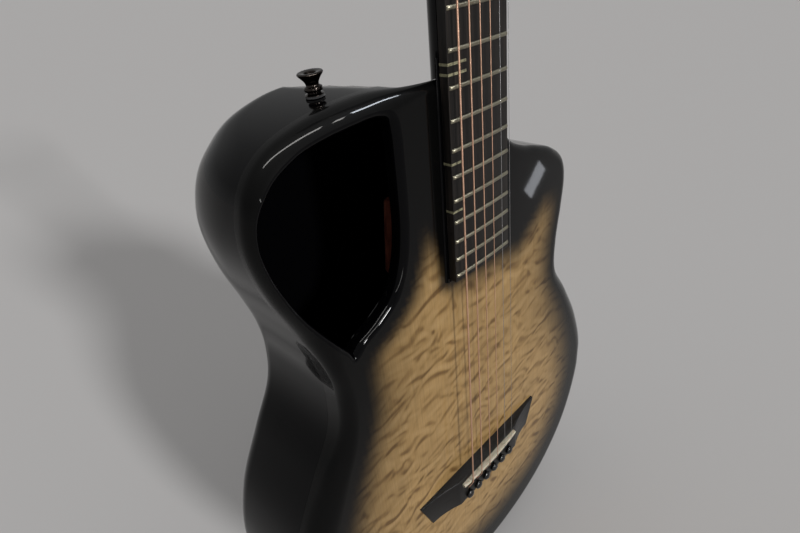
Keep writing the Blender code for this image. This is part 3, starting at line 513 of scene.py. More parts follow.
@dataclass(frozen=True)
class PressedFelt(Finish):
    """Pressed wool felt: black, without a highlight, fuzzy at its edge."""

    colours: tuple[str, str] = ("#08080A", "#1C1C1F")
    fibre: float = 0.3 * MM

    def dress(self, recipe: Recipe) -> None:
        """Short fibres in every direction, as a rough bump and two close tones.

        Args:
            recipe: The material's nodes.
        """
        fibres = recipe.noise(self.fibre, 4.0)
        recipe.finish(
            Base_Color=recipe.ramp(fibres, *zip((0.3, 0.7), self.colours)),
            Normal=recipe.bump(fibres, 0.8, 0.2 * MM),
            Roughness=0.95,
            Sheen_Weight=0.3,
            Sheen_Roughness=0.6,
        )


@dataclass(frozen=True)
class PaintedFloor(Finish):
    """A plain painted floor."""

    colour: str = "#D0CECD"

    def dress(self, recipe: Recipe) -> None:
        """One pale, matt colour."""
        recipe.finish(Base_Color=linear_colour(self.colour), Roughness=0.9, Specular_IOR_Level=0.0)


BODY_LACQUER = PolishedLacquer("polyester_lacquer_black")
NECK_LACQUER = PolishedLacquer("polyester_lacquer_neck", gloss=0.06, ripple=8 * MM)
HATCH_LACQUER = PolishedLacquer("satin_lacquer_hatch", gloss=0.2)
TOP_WOOD = BurstMaple("quilted_maple_burst")
SHELL_INSIDE = WovenShell("fibre_cloth_resin")
FRETBOARD_EBONY = OiledEbony("ebony_oiled_fretboard")
BRIDGE_EBONY = OiledEbony(
    "ebony_satin_bridge",
    ground="#121110",
    streak="#1D1A18",
    pore="#090808",
    grain=(60 * MM, 3 * MM, 0.9 * MM),
    pores=(5 * MM, 1 * MM, 0.35 * MM),
    sheen=0.33,
)
FRET_METAL = BareMetal("nickel_silver_drawn", "#96917F", 0.38, (4 * MM, 0.2 * MM, 0.2 * MM))
BRONZE = WoundBronze("phosphor_bronze_wound", "#CFA48A", 0.40)
STEEL = BareMetal("plain_steel_drawn", "#C4C4C6", 0.22)
DARK_CHROME = BareMetal("black_nickel_plated", "#3C3734", 0.12)
BONE = CutBone("bone_filed")
PIN_PLASTIC = MouldedPlastic("abs_turned_black")
MAHOGANY = VarnishedMahogany("mahogany_varnished")
SHELL_STRIP = AgedShell("shell_strip_sanded")
FELT = PressedFelt("wool_felt_black")
FLOOR_PAINT = PaintedFloor("floor_paint_pale")


# Places and curves


def millimetres(*pairs: Pair) -> list[Pair]:
    """Pairs that are given in millimetres, in metres."""
    return [(first * MM, second * MM) for first, second in pairs]


def posed(place: Sequence[float], turn: float, axis: str = "X") -> Matrix:
    """A frame at a place, turned about one axis."""
    return Matrix.Translation(place) @ Matrix.Rotation(turn, 4, axis)


def quarter_arc(steps: int) -> list[Pair]:
    """1 - cosine and 1 - sine at even steps of a quarter turn."""
    turns = [QUARTER_TURN * step / steps for step in range(steps + 1)]
    return [(1 - math.cos(turn), 1 - math.sin(turn)) for turn in turns]


def curve_point(before: Vector, start: Vector, end: Vector, after: Vector, t: float) -> Vector:
    """A point from start to end on a smooth curve that goes through all four."""
    bend = 2 * before - 5 * start + 4 * end - after
    twist = 3 * start - before - 3 * end + after
    return (2 * start + (end - before) * t + bend * t**2 + twist * t**3) / 2


def smooth_loop(points: Sequence[Sequence[float]], steps: int) -> list[Vector]:
    """Points on a closed curve through the given ones.

    Args:
        points: The points the curve goes through.
        steps: How many steps each span has.

    Returns:
        The points on the curve.
    """
    count = len(points)
    loop = []
    for i in range(count):
        four = [Vector(points[(i + k - 1) % count]) for k in range(4)]
        loop += [curve_point(*four, step / steps) for step in range(steps)]
    return loop


def outward_normals(loop: Places) -> list[Vector]:
    """Unit normals of a counter-clockwise loop in x and z, facing out of it.

    Args:
        loop: The loop's points, x and z first.

    Returns:
        A normal for each point.
    """
    normals = []
    for i, _ in enumerate(loop):
        before, after = loop[i - 1], loop[(i + 1) % len(loop)]
        normals.append(Vector((after[1] - before[1], before[0] - after[0])).normalized())
    return normals


def moved_out(point: Vector, normal: Vector, outset: float) -> Pair:
    """A point of a loop, moved out of it."""
    return point[0] + normal[0] * outset, point[1] + normal[1] * outset


def distance_to(places: np.ndarray, loop: Places) -> tuple[np.ndarray, np.ndarray]:
    """Distance from each place to a closed loop.

    Args:
        places: One x and z to a row.
        loop: The loop's points, x and z first.

    Returns:
        The distances, and for each place how far along the loop's list its nearest point lies.
    """
    start = np.array([point[:2] for point in loop])
    span = np.roll(start, -1, axis=0) - start
    length = (span**2).sum(1)
    distances, stations = [], []
    for part in np.array_split(places, max(1, len(places) // 4000)):
        offset = part[:, None, :] - start
        share = np.clip((offset * span).sum(2) / length, 0.0, 1.0)
        away = np.linalg.norm(offset - share[..., None] * span, axis=2)
        nearest = away.argmin(1)
        rows = np.arange(len(part))
        distances.append(away[rows, nearest])
        stations.append(nearest + share[rows, nearest])
    return np.concatenate(distances), np.concatenate(stations)


def fade(values: np.ndarray, full: float, none: float) -> np.ndarray:
    """1 up to full, 0 from none on, and a smooth step between."""
    share = np.clip((values - none) / (full - none), 0.0, 1.0)
    return share**2 * (3 - 2 * share)


# Mesh work


def ring_edges(bm: BMesh, ring: Ring) -> list[BMEdge]:
    """The edges that join a closed ring of vertices."""
    return [bm.edges.get(pair) for pair in zip(ring, ring[1:] + ring[:1])]


def next_ring(bm: BMesh, ring: Ring, places: Places) -> Ring:
    """Extrudes a closed ring and takes the new one to the given places.

    Args:
        bm: The mesh.
        ring: The ring to extrude.
        places: A point for each new vertex.

    Returns:
        The new ring, in the old one's order.
    """
    made = bmesh.ops.extrude_edge_only(bm, edges=ring_edges(bm, ring))["geom"]
    fresh = {item for item in made if isinstance(item, BMVert)}
    following = []
    for vert, place in zip(ring, places):
        following.append(next(e.other_vert(vert) for e in vert.link_edges if e.other_vert(vert) in fresh))
        following[-1].co = place
    return following


def loft(bm: BMesh, sections: Sequence[Places], closed: bool = True) -> list[Ring]:
    """Runs a skin through rings of places.

    Args:
        bm: The mesh it goes in.
        sections: The rings, each with the same number of points.
        closed: Whether both ends get a face.

    Returns:
        The rings of vertices.
    """
    first = bmesh.ops.create_circle(bm, cap_ends=False, segments=len(sections[0]), radius=1.0)["verts"]
    for vert, place in zip(first, sections[0]):
        vert.co = place
    rings = [first]
    for places in sections[1:]:
        rings.append(next_ring(bm, rings[-1], places))
    if closed:
        for ring in (rings[0], rings[-1]):
            bmesh.ops.edgeloop_fill(bm, edges=ring_edges(bm, ring))
        bmesh.ops.recalc_face_normals(bm, faces=bm.faces[:])
    return rings


def open_skin(sections: Sequence[Places]) -> tuple[BMesh, BMFace]:
    """Runs a skin from an open rim over rings of places to one flat face.

    Args:
        sections: The rings, from the rim on.

    Returns:
        The working mesh, facing outwards, and its flat face.
    """
    bm = bmesh.new()
    rings = loft(bm, sections, closed=False)
    flat = bmesh.ops.edgeloop_fill(bm, edges=ring_edges(bm, rings[-1]))["faces"][0]
    lid = bmesh.ops.edgeloop_fill(bm, edges=ring_edges(bm, rings[0]))["faces"]
    bmesh.ops.recalc_face_normals(bm, faces=bm.faces[:])
    bmesh.ops.delete(bm, geom=lid, context="FACES_ONLY")
    return bm, flat


def tube(bm: BMesh, path: Places, radius: float, sides: int = 12) -> None:
    """Runs a round tube along a path and keeps each ring's distance along it in the attribute "along".

    Args:
        bm: The mesh it goes in.
        path: Points down the middle of the tube.
        radius: The tube's radius.
        sides: How many sides it has.
    """
    layer = bm.verts.layers.float.new("along")
    turns = [FULL_TURN * k / sides for k in range(sides)]
    sections, distances, travelled = [], [], 0.0
    across = None
    for i, point in enumerate(path):
        ahead = (path[min(i + 1, len(path) - 1)] - path[max(i - 1, 0)]).normalized()
        across = ahead.orthogonal() if across is None else across - ahead * across.dot(ahead)
        across.normalize()
        aside = ahead.cross(across)
        sections.append([point + (across * math.cos(t) + aside * math.sin(t)) * radius for t in turns])
        travelled += (point - path[max(i - 1, 0)]).length
        distances.append(travelled)
    for ring, distance in zip(loft(bm, sections), distances):
        for vert in ring:
            vert[layer] = distance


def turned(bm: BMesh, profile: Sequence[Pair], matrix: Matrix, steps: int = 48) -> None:
    """Turns a profile of radius and height about z, closes its poles and puts it in place.

    Args:
        bm: The mesh it goes in.
        profile: Radius and height down the outer side.
        matrix: Where the turned shape goes.
        steps: How many steps a full turn has.
    """
    before = set(bm.verts)
    verts = [bm.verts.new((radius, 0.0, height)) for radius, height in profile]
    edges = [bm.edges.new(pair) for pair in zip(verts, verts[1:])]
    turn = {"angle": FULL_TURN, "steps": steps, "use_merge": True}
    bmesh.ops.spin(bm, geom=verts + edges, cent=(0.0, 0.0, 0.0), axis=(0.0, 0.0, 1.0), **turn)
    made = [vert for vert in bm.verts if vert not in before]
    bmesh.ops.remove_doubles(bm, verts=made, dist=1e-6)
    made = [vert for vert in bm.verts if vert not in before]
    faces = list({face for vert in made for face in vert.link_faces})
    bmesh.ops.recalc_face_normals(bm, faces=faces)
    bmesh.ops.transform(bm, matrix=matrix, verts=made)


def block(bm: BMesh, low: Corner, high: Corner, matrix: Matrix | None = None) -> list[BMVert]:
    """Adds a box between two corners.

    Args:
        bm: The mesh it goes in.
        low: The lowest corner.
        high: The highest corner.
        matrix: Where the box goes, if not where its corners say.

    Returns:
        Its vertices.
    """
    size, middle = Vector(high) - Vector(low), (Vector(low) + Vector(high)) / 2
    place = (matrix or Matrix.Identity(4)) @ Matrix.Translation(middle) @ Matrix.Diagonal((*size, 1.0))
    return bmesh.ops.create_cube(bm, size=1.0, matrix=place)["verts"]


def rounded_block(
    bm: BMesh, low: Corner, high: Corner, width: float, segments: int, matrix: Matrix | None = None
) -> None:
    """Adds a box with rounded edges between two corners.

    Args:
        bm: The mesh it goes in.
        low: The lowest corner.
        high: The highest corner.
        width: Width of the rounding.
        segments: How many faces it has across.
        matrix: Where the box goes, if not where its corners say.
    """
    edges = list({edge for vert in block(bm, low, high, matrix) for edge in vert.link_edges})
    bmesh.ops.bevel(bm, geom=edges, offset=width, segments=segments, profile=0.5, affect="EDGES", material=-1)


def drum(bm: BMesh, radius: float, reach: float, matrix: Matrix, steps: int = 48) -> None:
    """Adds a round bar that reaches as far both ways along its own z axis."""
    ends = {"radius1": radius, "radius2": radius, "depth": 2 * reach}
    bmesh.ops.create_cone(bm, cap_ends=True, segments=steps, matrix=matrix, **ends)


def loose_object(name: str, data: bpy.types.ID) -> Object:
    """Puts a mesh, a lamp or a camera in the scene as an object that isn't a piece yet.

    Args:
        name: The object's name.
        data: What it shows.

    Returns:
        The new object.
    """
    obj = bpy.data.objects.new(name, data)
    bpy.context.scene.collection.objects.link(obj)
    return obj


def shade(mesh: bpy.types.Mesh, sharp: float = 35.0) -> None:
    """Shades a mesh smoothly, but for the edges that turn by more degrees than sharp."""
    mesh.shade_smooth()
    mesh.set_sharp_from_angle(angle=math.radians(sharp))


def finished(bm: BMesh, name: str, sharp: float = 35.0) -> Object:
    """Turns a working mesh into a shaded object.

    Args:
        bm: The working mesh, which is freed.
        name: The name of the object and of its mesh.
        sharp: Edges that turn by more degrees than this stay sharp.

    Returns:
        The new object.
    """
    mesh = bpy.data.meshes.new(name)
    bm.to_mesh(mesh)
    bm.free()
    shade(mesh, sharp)
    return loose_object(name, mesh)


def lofted(name: str, sections: Sequence[Places], sharp: float = 35.0) -> Object:
    """Runs a closed skin through rings of places.

    Args:
        name: The name of the object.
        sections: The rings, each with the same number of points.
        sharp: Edges that turn by more degrees than this stay sharp.

    Returns:
        The new object.
    """
    bm = bmesh.new()
    loft(bm, sections)
    return finished(bm, name, sharp)


def carve(obj: Object, tool: BMesh) -> None:
    """Applies an object's modifiers and then cuts a tool's shape out of its mesh.

    Args:
        obj: The object to cut.
        tool: A closed working mesh, which is freed.
    """
    bmesh.ops.recalc_face_normals(tool, faces=tool.faces[:])
    cutter = finished(tool, "tool")
    cut = obj.modifiers.new("cut", "BOOLEAN")
    cut.operation, cut.solver, cut.object = "DIFFERENCE", "EXACT", cutter
    graph = bpy.context.evaluated_depsgraph_get()
    mesh = bpy.data.meshes.new_from_object(obj.evaluated_get(graph), depsgraph=graph)
    obj.modifiers.clear()
    obj.data = mesh
    shade(mesh)
    bpy.data.objects.remove(cutter)


def soften(obj: Object, width: float, segments: int = 3) -> None:
    """Rounds an object's sharp edges.

    Args:
        obj: The object.
        width: Width of the rounding.
        segments: How many faces it has across.
    """
    bevel = obj.modifiers.new("rounded edges", "BEVEL")
    bevel.width, bevel.segments = width, segments
    bevel.limit_method, bevel.angle_limit = "ANGLE", math.radians(35)
    bevel.harden_normals = True


def thicken(obj: Object, thickness: float) -> None:
    """Gives a skin a wall behind it, whose inner face takes the second finish."""
    wall = obj.modifiers.new("thickness", "SOLIDIFY")
    wall.thickness, wall.offset, wall.use_even_offset, wall.material_offset = thickness, -1.0, True, 1


def make_piece(
    obj: Object,
    finishes: Sequence[Finish],
    stands_for: str | None = None,
    body: str = FIXED_BODY,
) -> None:
    """Dresses an object and joins it to the guitar.

    Args:
        obj: The object, already in place.
        finishes: Its finishes, in the order of its material slots.
        stands_for: The CAD node it takes the place of.
        body: The CAD body it rides on.
    """
    obj.data.materials.clear()
    for finish in finishes:
        obj.data.materials.append(finish.material())
    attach(obj, body)
    if stands_for:
        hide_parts(stands_for)
    LOG.info("%s rides on %s with %d vertices", obj.name, body, len(obj.data.vertices))


# Shared layout


@dataclass(frozen=True)
class Layout:
    """Main places of the guitar, which several sub-assemblies share."""

    seat_gap: float = 0.3 * MM
    scale_length: float = 648 * MM
    saddle_z: float = 158 * MM
    soundboard_y: float = -50 * MM
    parting_y: float = -30 * MM
    shoulder_z: float = 485.5 * MM
    depth_at_shoulder: float = 91 * MM
    depth_at_tail: float = 113 * MM
    fretboard_rise: float = 8 * MM
    fretboard_thickness: float = 6 * MM
    fretboard_from_saddle: float = 199.5 * MM
    nut_half_width: float = 22.2 * MM
    body_half_width: float = 29.5 * MM
    camber_radius: float = 400 * MM
    crown_rise: float = 0.85 * MM
    fret_crown: float = 1.1 * MM
    nut_thickness: float = 5.5 * MM
    head_tilt: float = math.radians(14)
    head_thickness: float = 14 * MM
    string_diameters: tuple[float, ...] = (1.35 * MM, 1.07 * MM, 0.81 * MM, 0.61 * MM, 0.41 * MM, 0.30 * MM)
    wound_strings: int = 4
    nut_spread: float = 35.5 * MM
    pin_spread: float = 58 * MM
    action_at_nut: float = 0.5 * MM
    action_at_saddle: float = 4.0 * MM
    bridge_height: float = 9 * MM
    saddle_tilt: float = math.radians(1.2)
    pin_below_saddle: float = 18.3 * MM
    pin_slope: float = 0.033
    pin_radius: float = 2.6 * MM
    post_x: float = 24.5 * MM
    post_first_z: float = 40 * MM
    post_pitch: float = 42 * MM
    post_radius: float = 2.5 * MM
    wrap_height: float = 8.5 * MM

    @property
    def nut_z(self) -> float:
        """Where the strings leave the nut."""
        return self.saddle_z + self.scale_length

    @property
    def neck_top_z(self) -> float:
        """Where the headstock starts."""
        return self.nut_z + self.seat_gap + self.nut_thickness

    @property
    def fretboard_end_z(self) -> float:
        """The end of the fretboard over the body."""
        return self.saddle_z + self.fretboard_from_saddle

    @property
    def fretboard_edge_y(self) -> float:
        """The height of the fretboard's edge."""
        return self.soundboard_y - self.fretboard_rise

    @property
    def fretboard_back_y(self) -> float:
        """The underside of the fretboard."""
        return self.fretboard_edge_y + self.fretboard_thickness

    @property
    def fret_top_y(self) -> float:
        """The height of a fret's crown at the middle."""
        return self.board_y(0.0) - self.seat_gap - self.fret_crown

    @property
    def neck_front_y(self) -> float:
        """The face of the neck that carries the fretboard."""
        return self.fretboard_back_y + self.seat_gap

    @property
    def bridge_front_y(self) -> float:
        """The top face of the bridge."""
        return self.soundboard_y - self.seat_gap - self.bridge_height

    @property
    def pin_z(self) -> float:
        """The middle of the row of bridge pins."""
        return self.saddle_z - self.pin_below_saddle

    @property
    def back_slope(self) -> float:
        """How much shallower the body gets on its way up."""
        return (self.depth_at_tail - self.depth_at_shoulder) / self.shoulder_z

    @property
    def head_frame(self) -> Matrix:
        """The headstock's frame: z runs along it and y goes in from its face."""
        return posed((0.0, self.neck_front_y, self.neck_top_z), -self.head_tilt)

    def back_y(self, z: float) -> float:
        """The flat back's place at a height."""
        return self.soundboard_y + self.depth_at_tail - z * self.back_slope

    def neck_half_width(self, z: float) -> float:
        """Half the width of the fretboard at a height."""
        along = (z - self.fretboard_end_z) / (self.nut_z - self.fretboard_end_z)
        return self.body_half_width + (self.nut_half_width - self.body_half_width) * along

    def camber_y(self, x: float) -> float:
        """How far the fretboard falls off at x."""
        return x**2 / (2 * self.camber_radius)

    def board_y(self, x: float) -> float:
        """The face of the fretboard at x."""
        return self.fretboard_edge_y - self.crown_rise + self.camber_y(x)

    def fret_z(self, number: int) -> float:
        """The height of a fret."""
        return self.saddle_z + self.scale_length / 2 ** (number / 12)

    def string_x(self, index: int, z: float) -> float:
        """Place of a string across the neck."""
        along = (self.nut_z - z) / (self.nut_z - self.pin_z)
        return (index / 5 - 0.5) * (self.nut_spread + (self.pin_spread - self.nut_spread) * along)

    def string_seat_y(self, index: int, z: float) -> float:
        """Where the underside of a string lies between the nut and the saddle.

        Args:
            index: Which string, from the bass side.
            z: The height at which it is asked.

        Returns:
            Its place in y.
        """
        along = (self.nut_z - z) / self.scale_length
        action = self.action_at_nut + (self.action_at_saddle - self.action_at_nut) * along
        return self.fret_top_y + self.camber_y(self.string_x(index, z)) - action

    def pin_place(self, index: int) -> Pair:
        """Place of a bridge pin in x and z."""
        x = self.string_x(index, self.pin_z)
        return x, self.pin_z + x * self.pin_slope

    def post_place(self, index: int) -> tuple[float, float, int]:
        """Place of a tuning post on the headstock.

        Args:
            index: Which string it takes, from the bass side.

        Returns:
            Its x and z, and 1 on the treble side or -1 on the bass side.
        """
        side = -1 if index < 3 else 1
        order = index if index < 3 else 5 - index
        return side * self.post_x, self.post_first_z + self.post_pitch * order, side


@dataclass(frozen=True)
class BodyOutline:
    """The body's outline: x, z, the front edge's radius, and how far the back's edge runs in and rises."""

    lower_bout: tuple[tuple[float, ...], ...] = (
        (0.0600, 0.0055, 0.016, 0.0180, 0.0180), (0.1140, 0.0250, 0.018, 0.0200, 0.0200),
        (0.1570, 0.0640, 0.018, 0.0200, 0.0200), (0.1815, 0.1150, 0.018, 0.0200, 0.0200),
        (0.1865, 0.1640, 0.018, 0.0200, 0.0200),
    )  # fmt: skip
    treble_side: tuple[tuple[float, ...], ...] = (
        (0.1710, 0.2130, 0.018, 0.0200, 0.0200), (0.1460, 0.2560, 0.015, 0.0180, 0.0180),
        (0.1230, 0.2900, 0.013, 0.0150, 0.0150), (0.1205, 0.3200, 0.012, 0.0140, 0.0140),
        (0.1255, 0.3500, 0.012, 0.0140, 0.0140), (0.1283, 0.3760, 0.012, 0.0140, 0.0140),
        (0.1215, 0.3945, 0.010, 0.0130, 0.0130), (0.1055, 0.4060, 0.008, 0.0110, 0.0110),
        (0.0860, 0.4135, 0.007, 0.0100, 0.0100), (0.0660, 0.4200, 0.006, 0.0090, 0.0090),
        (0.0480, 0.4290, 0.005, 0.0070, 0.0070), (0.0370, 0.4410, 0.004, 0.0060, 0.0060),
        (0.0335, 0.4560, 0.004, 0.0060, 0.0060), (0.0325, 0.4720, 0.004, 0.0060, 0.0060),
        (0.0295, 0.4800, 0.004, 0.0060, 0.0060), (0.0200, 0.4844, 0.004, 0.0060, 0.0060),
        (0.0000, 0.4854, 0.004, 0.0060, 0.0060), (-0.0220, 0.4855, 0.004, 0.0060, 0.0060),
    )  # fmt: skip
    bass_side: tuple[tuple[float, ...], ...] = (
        (-0.0440, 0.4863, 0.007, 0.0100, 0.0100), (-0.0680, 0.4881, 0.014, 0.0160, 0.0170),
        (-0.0930, 0.4869, 0.019, 0.0195, 0.0215), (-0.1170, 0.4826, 0.023, 0.0220, 0.0340),
        (-0.1345, 0.4758, 0.024, 0.0250, 0.0580), (-0.1475, 0.4640, 0.024, 0.0270, 0.0640),
        (-0.1545, 0.4470, 0.024, 0.0260, 0.0620), (-0.1560, 0.4270, 0.024, 0.0240, 0.0560),
        (-0.1505, 0.4010, 0.022, 0.0210, 0.0460), (-0.1400, 0.3720, 0.016, 0.0180, 0.0340),
        (-0.1315, 0.3450, 0.009, 0.0150, 0.0240), (-0.1280, 0.3180, 0.009, 0.0130, 0.0170),
        (-0.1330, 0.2880, 0.010, 0.0140, 0.0150), (-0.1525, 0.2560, 0.014, 0.0180, 0.0180),
        (-0.1755, 0.2130, 0.018, 0.0200, 0.0200),
    )  # fmt: skip
    soundhole: tuple[Pair, ...] = (
        (-0.1140, 0.3445), (-0.1040, 0.3510), (-0.0890, 0.3575), (-0.0740, 0.3680), (-0.0650, 0.3860),
        (-0.0605, 0.4070), (-0.0592, 0.4290), (-0.0588, 0.4500), (-0.0588, 0.4650), (-0.0612, 0.4760),
        (-0.0700, 0.4796), (-0.0870, 0.4790), (-0.1057, 0.4771), (-0.1226, 0.4732), (-0.1378, 0.4650),
        (-0.1481, 0.4517), (-0.1519, 0.4362), (-0.1503, 0.4194), (-0.1453, 0.4019), (-0.1374, 0.3824),
        (-0.1270, 0.3640), (-0.1185, 0.3515),
    )  # fmt: skip
    rake: float = 0.32
    rake_start_y: float = -46 * MM
    rake_edge_x: float = -43 * MM
    rake_spread: float = 2.1
    rake_fade_z: float = 440 * MM
    edge_depth: float = 16 * MM
    steps: int = 8

    @cached_property
    def loop(self) -> list[Vector]:
        """The outline as a fine loop of points that hold the same five values.

        Returns:
            The points, counter-clockwise from the tail.
        """
        bass_bout = [(-x, *rest) for x, *rest in reversed(self.lower_bout)]
        tail = [(0.0, 0.0, *self.lower_bout[0][2:])]
        points = tail + list(self.lower_bout) + list(self.treble_side) + list(self.bass_side) + bass_bout
        widest = max(x for x, *_ in points)
        loop = smooth_loop(points, self.steps)
        for point in loop:
            point[0] = max(-widest, min(widest, point[0]))
        return loop

    @cached_property
    def normals(self) -> list[Vector]:
        """The outline's outward normals."""
        return outward_normals(self.loop)

    @cached_property
    def hole(self) -> list[Vector]:
        """The soundhole's inner wall as a fine loop of x and z."""
        return smooth_loop(self.soundhole, self.steps)

    def rake_drop(self, x: float, y: float, at: float) -> float:
        """How far the rake of the shoulder beside the neck lets the side wall down.

        Args:
            x: The place across.
            y: The depth.
            at: The height that says how much of the rake it gets.

        Returns:
            The drop.
        """
        start = self.rake_start_y + self.rake_spread * max(0.0, self.rake_edge_x - x)
        share = (at - self.rake_fade_z) / (LAYOUT.shoulder_z - self.rake_fade_z)
        return self.rake * max(0.0, y - start) * max(0.0, min(1.0, share))

    def raked(self, x: float, y: float, z: float) -> Vector:
        """A point of the side wall, let down by the rake."""
        return Vector((x, y, z - self.rake_drop(x, y, z)))

    def side_ring(self, share: float) -> list[Vector]:
        """The side wall at a share of the way from the parting line to the rounding of the back.

        Args:
            share: 0 at the parting line, 1 where the rounding starts.

        Returns:
            The ring's points.
        """
        ring = []
        for x, z, _, _, rise in self.loop:
            y = LAYOUT.parting_y + (LAYOUT.back_y(z) - rise - LAYOUT.parting_y) * share
            ring.append(self.raked(x, y, z))
        return ring

    def top_y(self, places: Sequence[Pair]) -> np.ndarray:
        """The front surface, with the rounding of its edge.

        Args:
            places: The x and z of each place that is asked.

        Returns:
            Its y at each of them.
        """
        distance, station = distance_to(np.array(places), self.loop)
        radii = np.array([point[2] for point in self.loop])
        edge = radii[np.minimum(station.astype(int), len(radii) - 1)]
        inside = np.clip(1 - distance / edge, 0.0, 1.0)
        return LAYOUT.soundboard_y + np.minimum(edge, self.edge_depth) * (1 - np.sqrt(1 - inside**2))


LAYOUT = Layout()
OUTLINE = BodyOutline()


# Sub-assemblies


@dataclass
class SoundTop:
    """The soundboard with its rolled edge, the rolled lip of the soundhole and the bar behind it."""

    thickness: float = 2.7 * MM
    edge_steps: int = 12
    flat_margin: float = 0.4 * MM
    grid: float = 5 * MM
    grid_reach: tuple[tuple[int, float, float], ...] = ((0, -0.19, 0.19), (2, 0.0, 0.49))
    hole_cut_y: Pair = (-70 * MM, -20 * MM)
    hole_overlap: float = 0.03 * MM
    lip_radii: Pair = (5.0 * MM, 2.6 * MM)
    lip_start: float = 0.8 * MM
    lip_steps: int = 14
    lip_depth: float = 11 * MM
    lip_foot: float = 1.4 * MM
    lip_foot_steps: int = 6
    lip_undercut: float = 0.3
    lip_proud: float = 0.04 * MM
    lip_tuck: Pair = (0.3 * MM, 0.4 * MM)
    waist_z: float = 270 * MM
    waist_span: float = 110 * MM
    side_span: float = 160 * MM
    bass_band: Pair = (18 * MM, 8 * MM)
    bass_soft: Pair = (26 * MM, 24 * MM)
    treble_band: Pair = (12 * MM, 14 * MM)
    treble_soft: Pair = (30 * MM, 24 * MM)
    burst_top_x: tuple[float, ...] = (-60 * MM, -42 * MM, -28 * MM, 55 * MM, 90 * MM)
    burst_top_z: tuple[float, ...] = (384 * MM, 382 * MM, 346 * MM, 334 * MM, 360 * MM)
    level_span: float = 17 * MM
    level_soft_x: Pair = (-48 * MM, -28 * MM)
    level_soft: Pair = (1.6, 1.0)
    wide_edge_darkening: float = 0.35
    wide_edge_reach: Pair = (10 * MM, 70 * MM)
    hole_band: Pair = (8 * MM, 27 * MM)
    neck_band: Pair = (2 * MM, 15 * MM)
    bar_start: Pair = (-55 * MM, 423 * MM)
    bar_end: Pair = (-61.5 * MM, 372 * MM)
    bar_width: float = 8 * MM
    bar_depth: float = 20 * MM
    bar_round: float = 0.46

    def build(self) -> None:
        """Builds and dresses the top, the lip and the bar."""
        top = self.skin()
        thicken(top, self.thickness)
        carve(top, self.hole_tool())
        self.paint_burst(top.data)
        make_piece(top, (TOP_WOOD, SHELL_INSIDE), "soundboard")
        make_piece(self.lip(), (BODY_LACQUER,))
        make_piece(self.bar(), (MAHOGANY,))

    def skin(self) -> Object:
        """The outer surface, from the parting line over the rounded edge to the flat, cut into a grid.

        Returns:
            The open skin, facing outwards.
        """
        sections = [[OUTLINE.raked(x, LAYOUT.parting_y, z) for x, z, *_ in OUTLINE.loop]]
        sections += [self.edge_ring(inward, back, 0.0) for inward, back in quarter_arc(self.edge_steps)]
        bm, flat = open_skin(sections + [self.edge_ring(1.0, 0.0, self.flat_margin)])
        geom = [flat, *flat.edges, *flat.verts]
        for axis, low, high in self.grid_reach:
            across = Vector((0.0, 0.0, 0.0))
            across[axis] = 1.0
            for place in np.arange(low, high, self.grid):
                geom = bmesh.ops.bisect_plane(
                    bm, geom=geom, dist=1e-6, plane_co=across * float(place), plane_no=across
                )["geom"]
        return finished(bm, "sound_top")

    def edge_ring(self, inward: float, back: float, extra: float) -> list[Vector]:
        """One ring of the rounded edge.

        Args:
            inward: How far in it lies, in edge radii.
            back: How far behind the flat it lies, in edge radii.
            extra: A further length inwards.

        Returns:
            The ring's points.
        """
        ring = []
        for point, normal in zip(OUTLINE.loop, OUTLINE.normals):
            x, z = moved_out(point, normal, -point[2] * inward - extra)
            depth = min(point[2], OUTLINE.edge_depth)
            ring.append(Vector((x, LAYOUT.soundboard_y + depth * back, z)))
        return ring

    def hole_tool(self) -> BMesh:
        """The column that cuts the soundhole.

        Returns:
            A closed working mesh, whose wall stands just inside the lip's outer rim.
        """
        around = self.lip_ring(0.0, -self.hole_overlap)
        tool = bmesh.new()
        loft(tool, [[Vector((x, y, z)) for x, z in around] for y in self.hole_cut_y])
        return tool

    def lip_ring(self, inward: float, outset: float = 0.0) -> list[Pair]:
        """A ring round the soundhole, counted from the line where its lip starts to roll in.

        Args:
            inward: How far inside that line it lies, in lip radii.
            outset: A further length outwards.

        Returns:
            The ring's points in x and z.
        """
        ring = []
        for point, normal in zip(OUTLINE.hole, outward_normals(OUTLINE.hole)):
            ring.append(moved_out(point, normal, self.lip_start + outset - inward * self.lip_radius(normal)))
        return ring

    def lip_radius(self, normal: Vector) -> float:
        """The lip's radius, which is larger on the treble side."""
        treble, bass = self.lip_radii
        return (treble + bass) / 2 + (treble - bass) / 2 * normal[0]

    def lip_sections(self) -> list[list[Vector]]:
        """The lip's rings, from under the top over the roll, down the wall and back behind the top.

        Returns:
            The rings in order.
        """
        radii = [self.lip_radius(normal) for normal in outward_normals(OUTLINE.hole)]
        ridge = OUTLINE.top_y(self.lip_ring(0.0))
        profile = [(1 - rest, sunk, -self.lip_proud) for sunk, rest in quarter_arc(self.lip_steps)]
        for tucked, rest in quarter_arc(self.lip_foot_steps)[1:]:
            profile.append((1 - self.lip_undercut * tucked, 0.0, self.lip_depth - self.lip_foot * rest))
        profile += [(0.0, 0.0, self.lip_depth), (0.0, 0.0, self.thickness)]
        outset, under = self.lip_tuck
        outer = self.lip_ring(0.0, outset)
        sections = [[Vector((x, float(y) + under, z)) for (x, z), y in zip(outer, OUTLINE.top_y(outer))]]
        for inward, back, drop in profile:
            around = zip(self.lip_ring(inward), ridge, radii)
            sections.append([Vector((x, float(y) + back * radius + drop, z)) for (x, z), y, radius in around])
        return sections

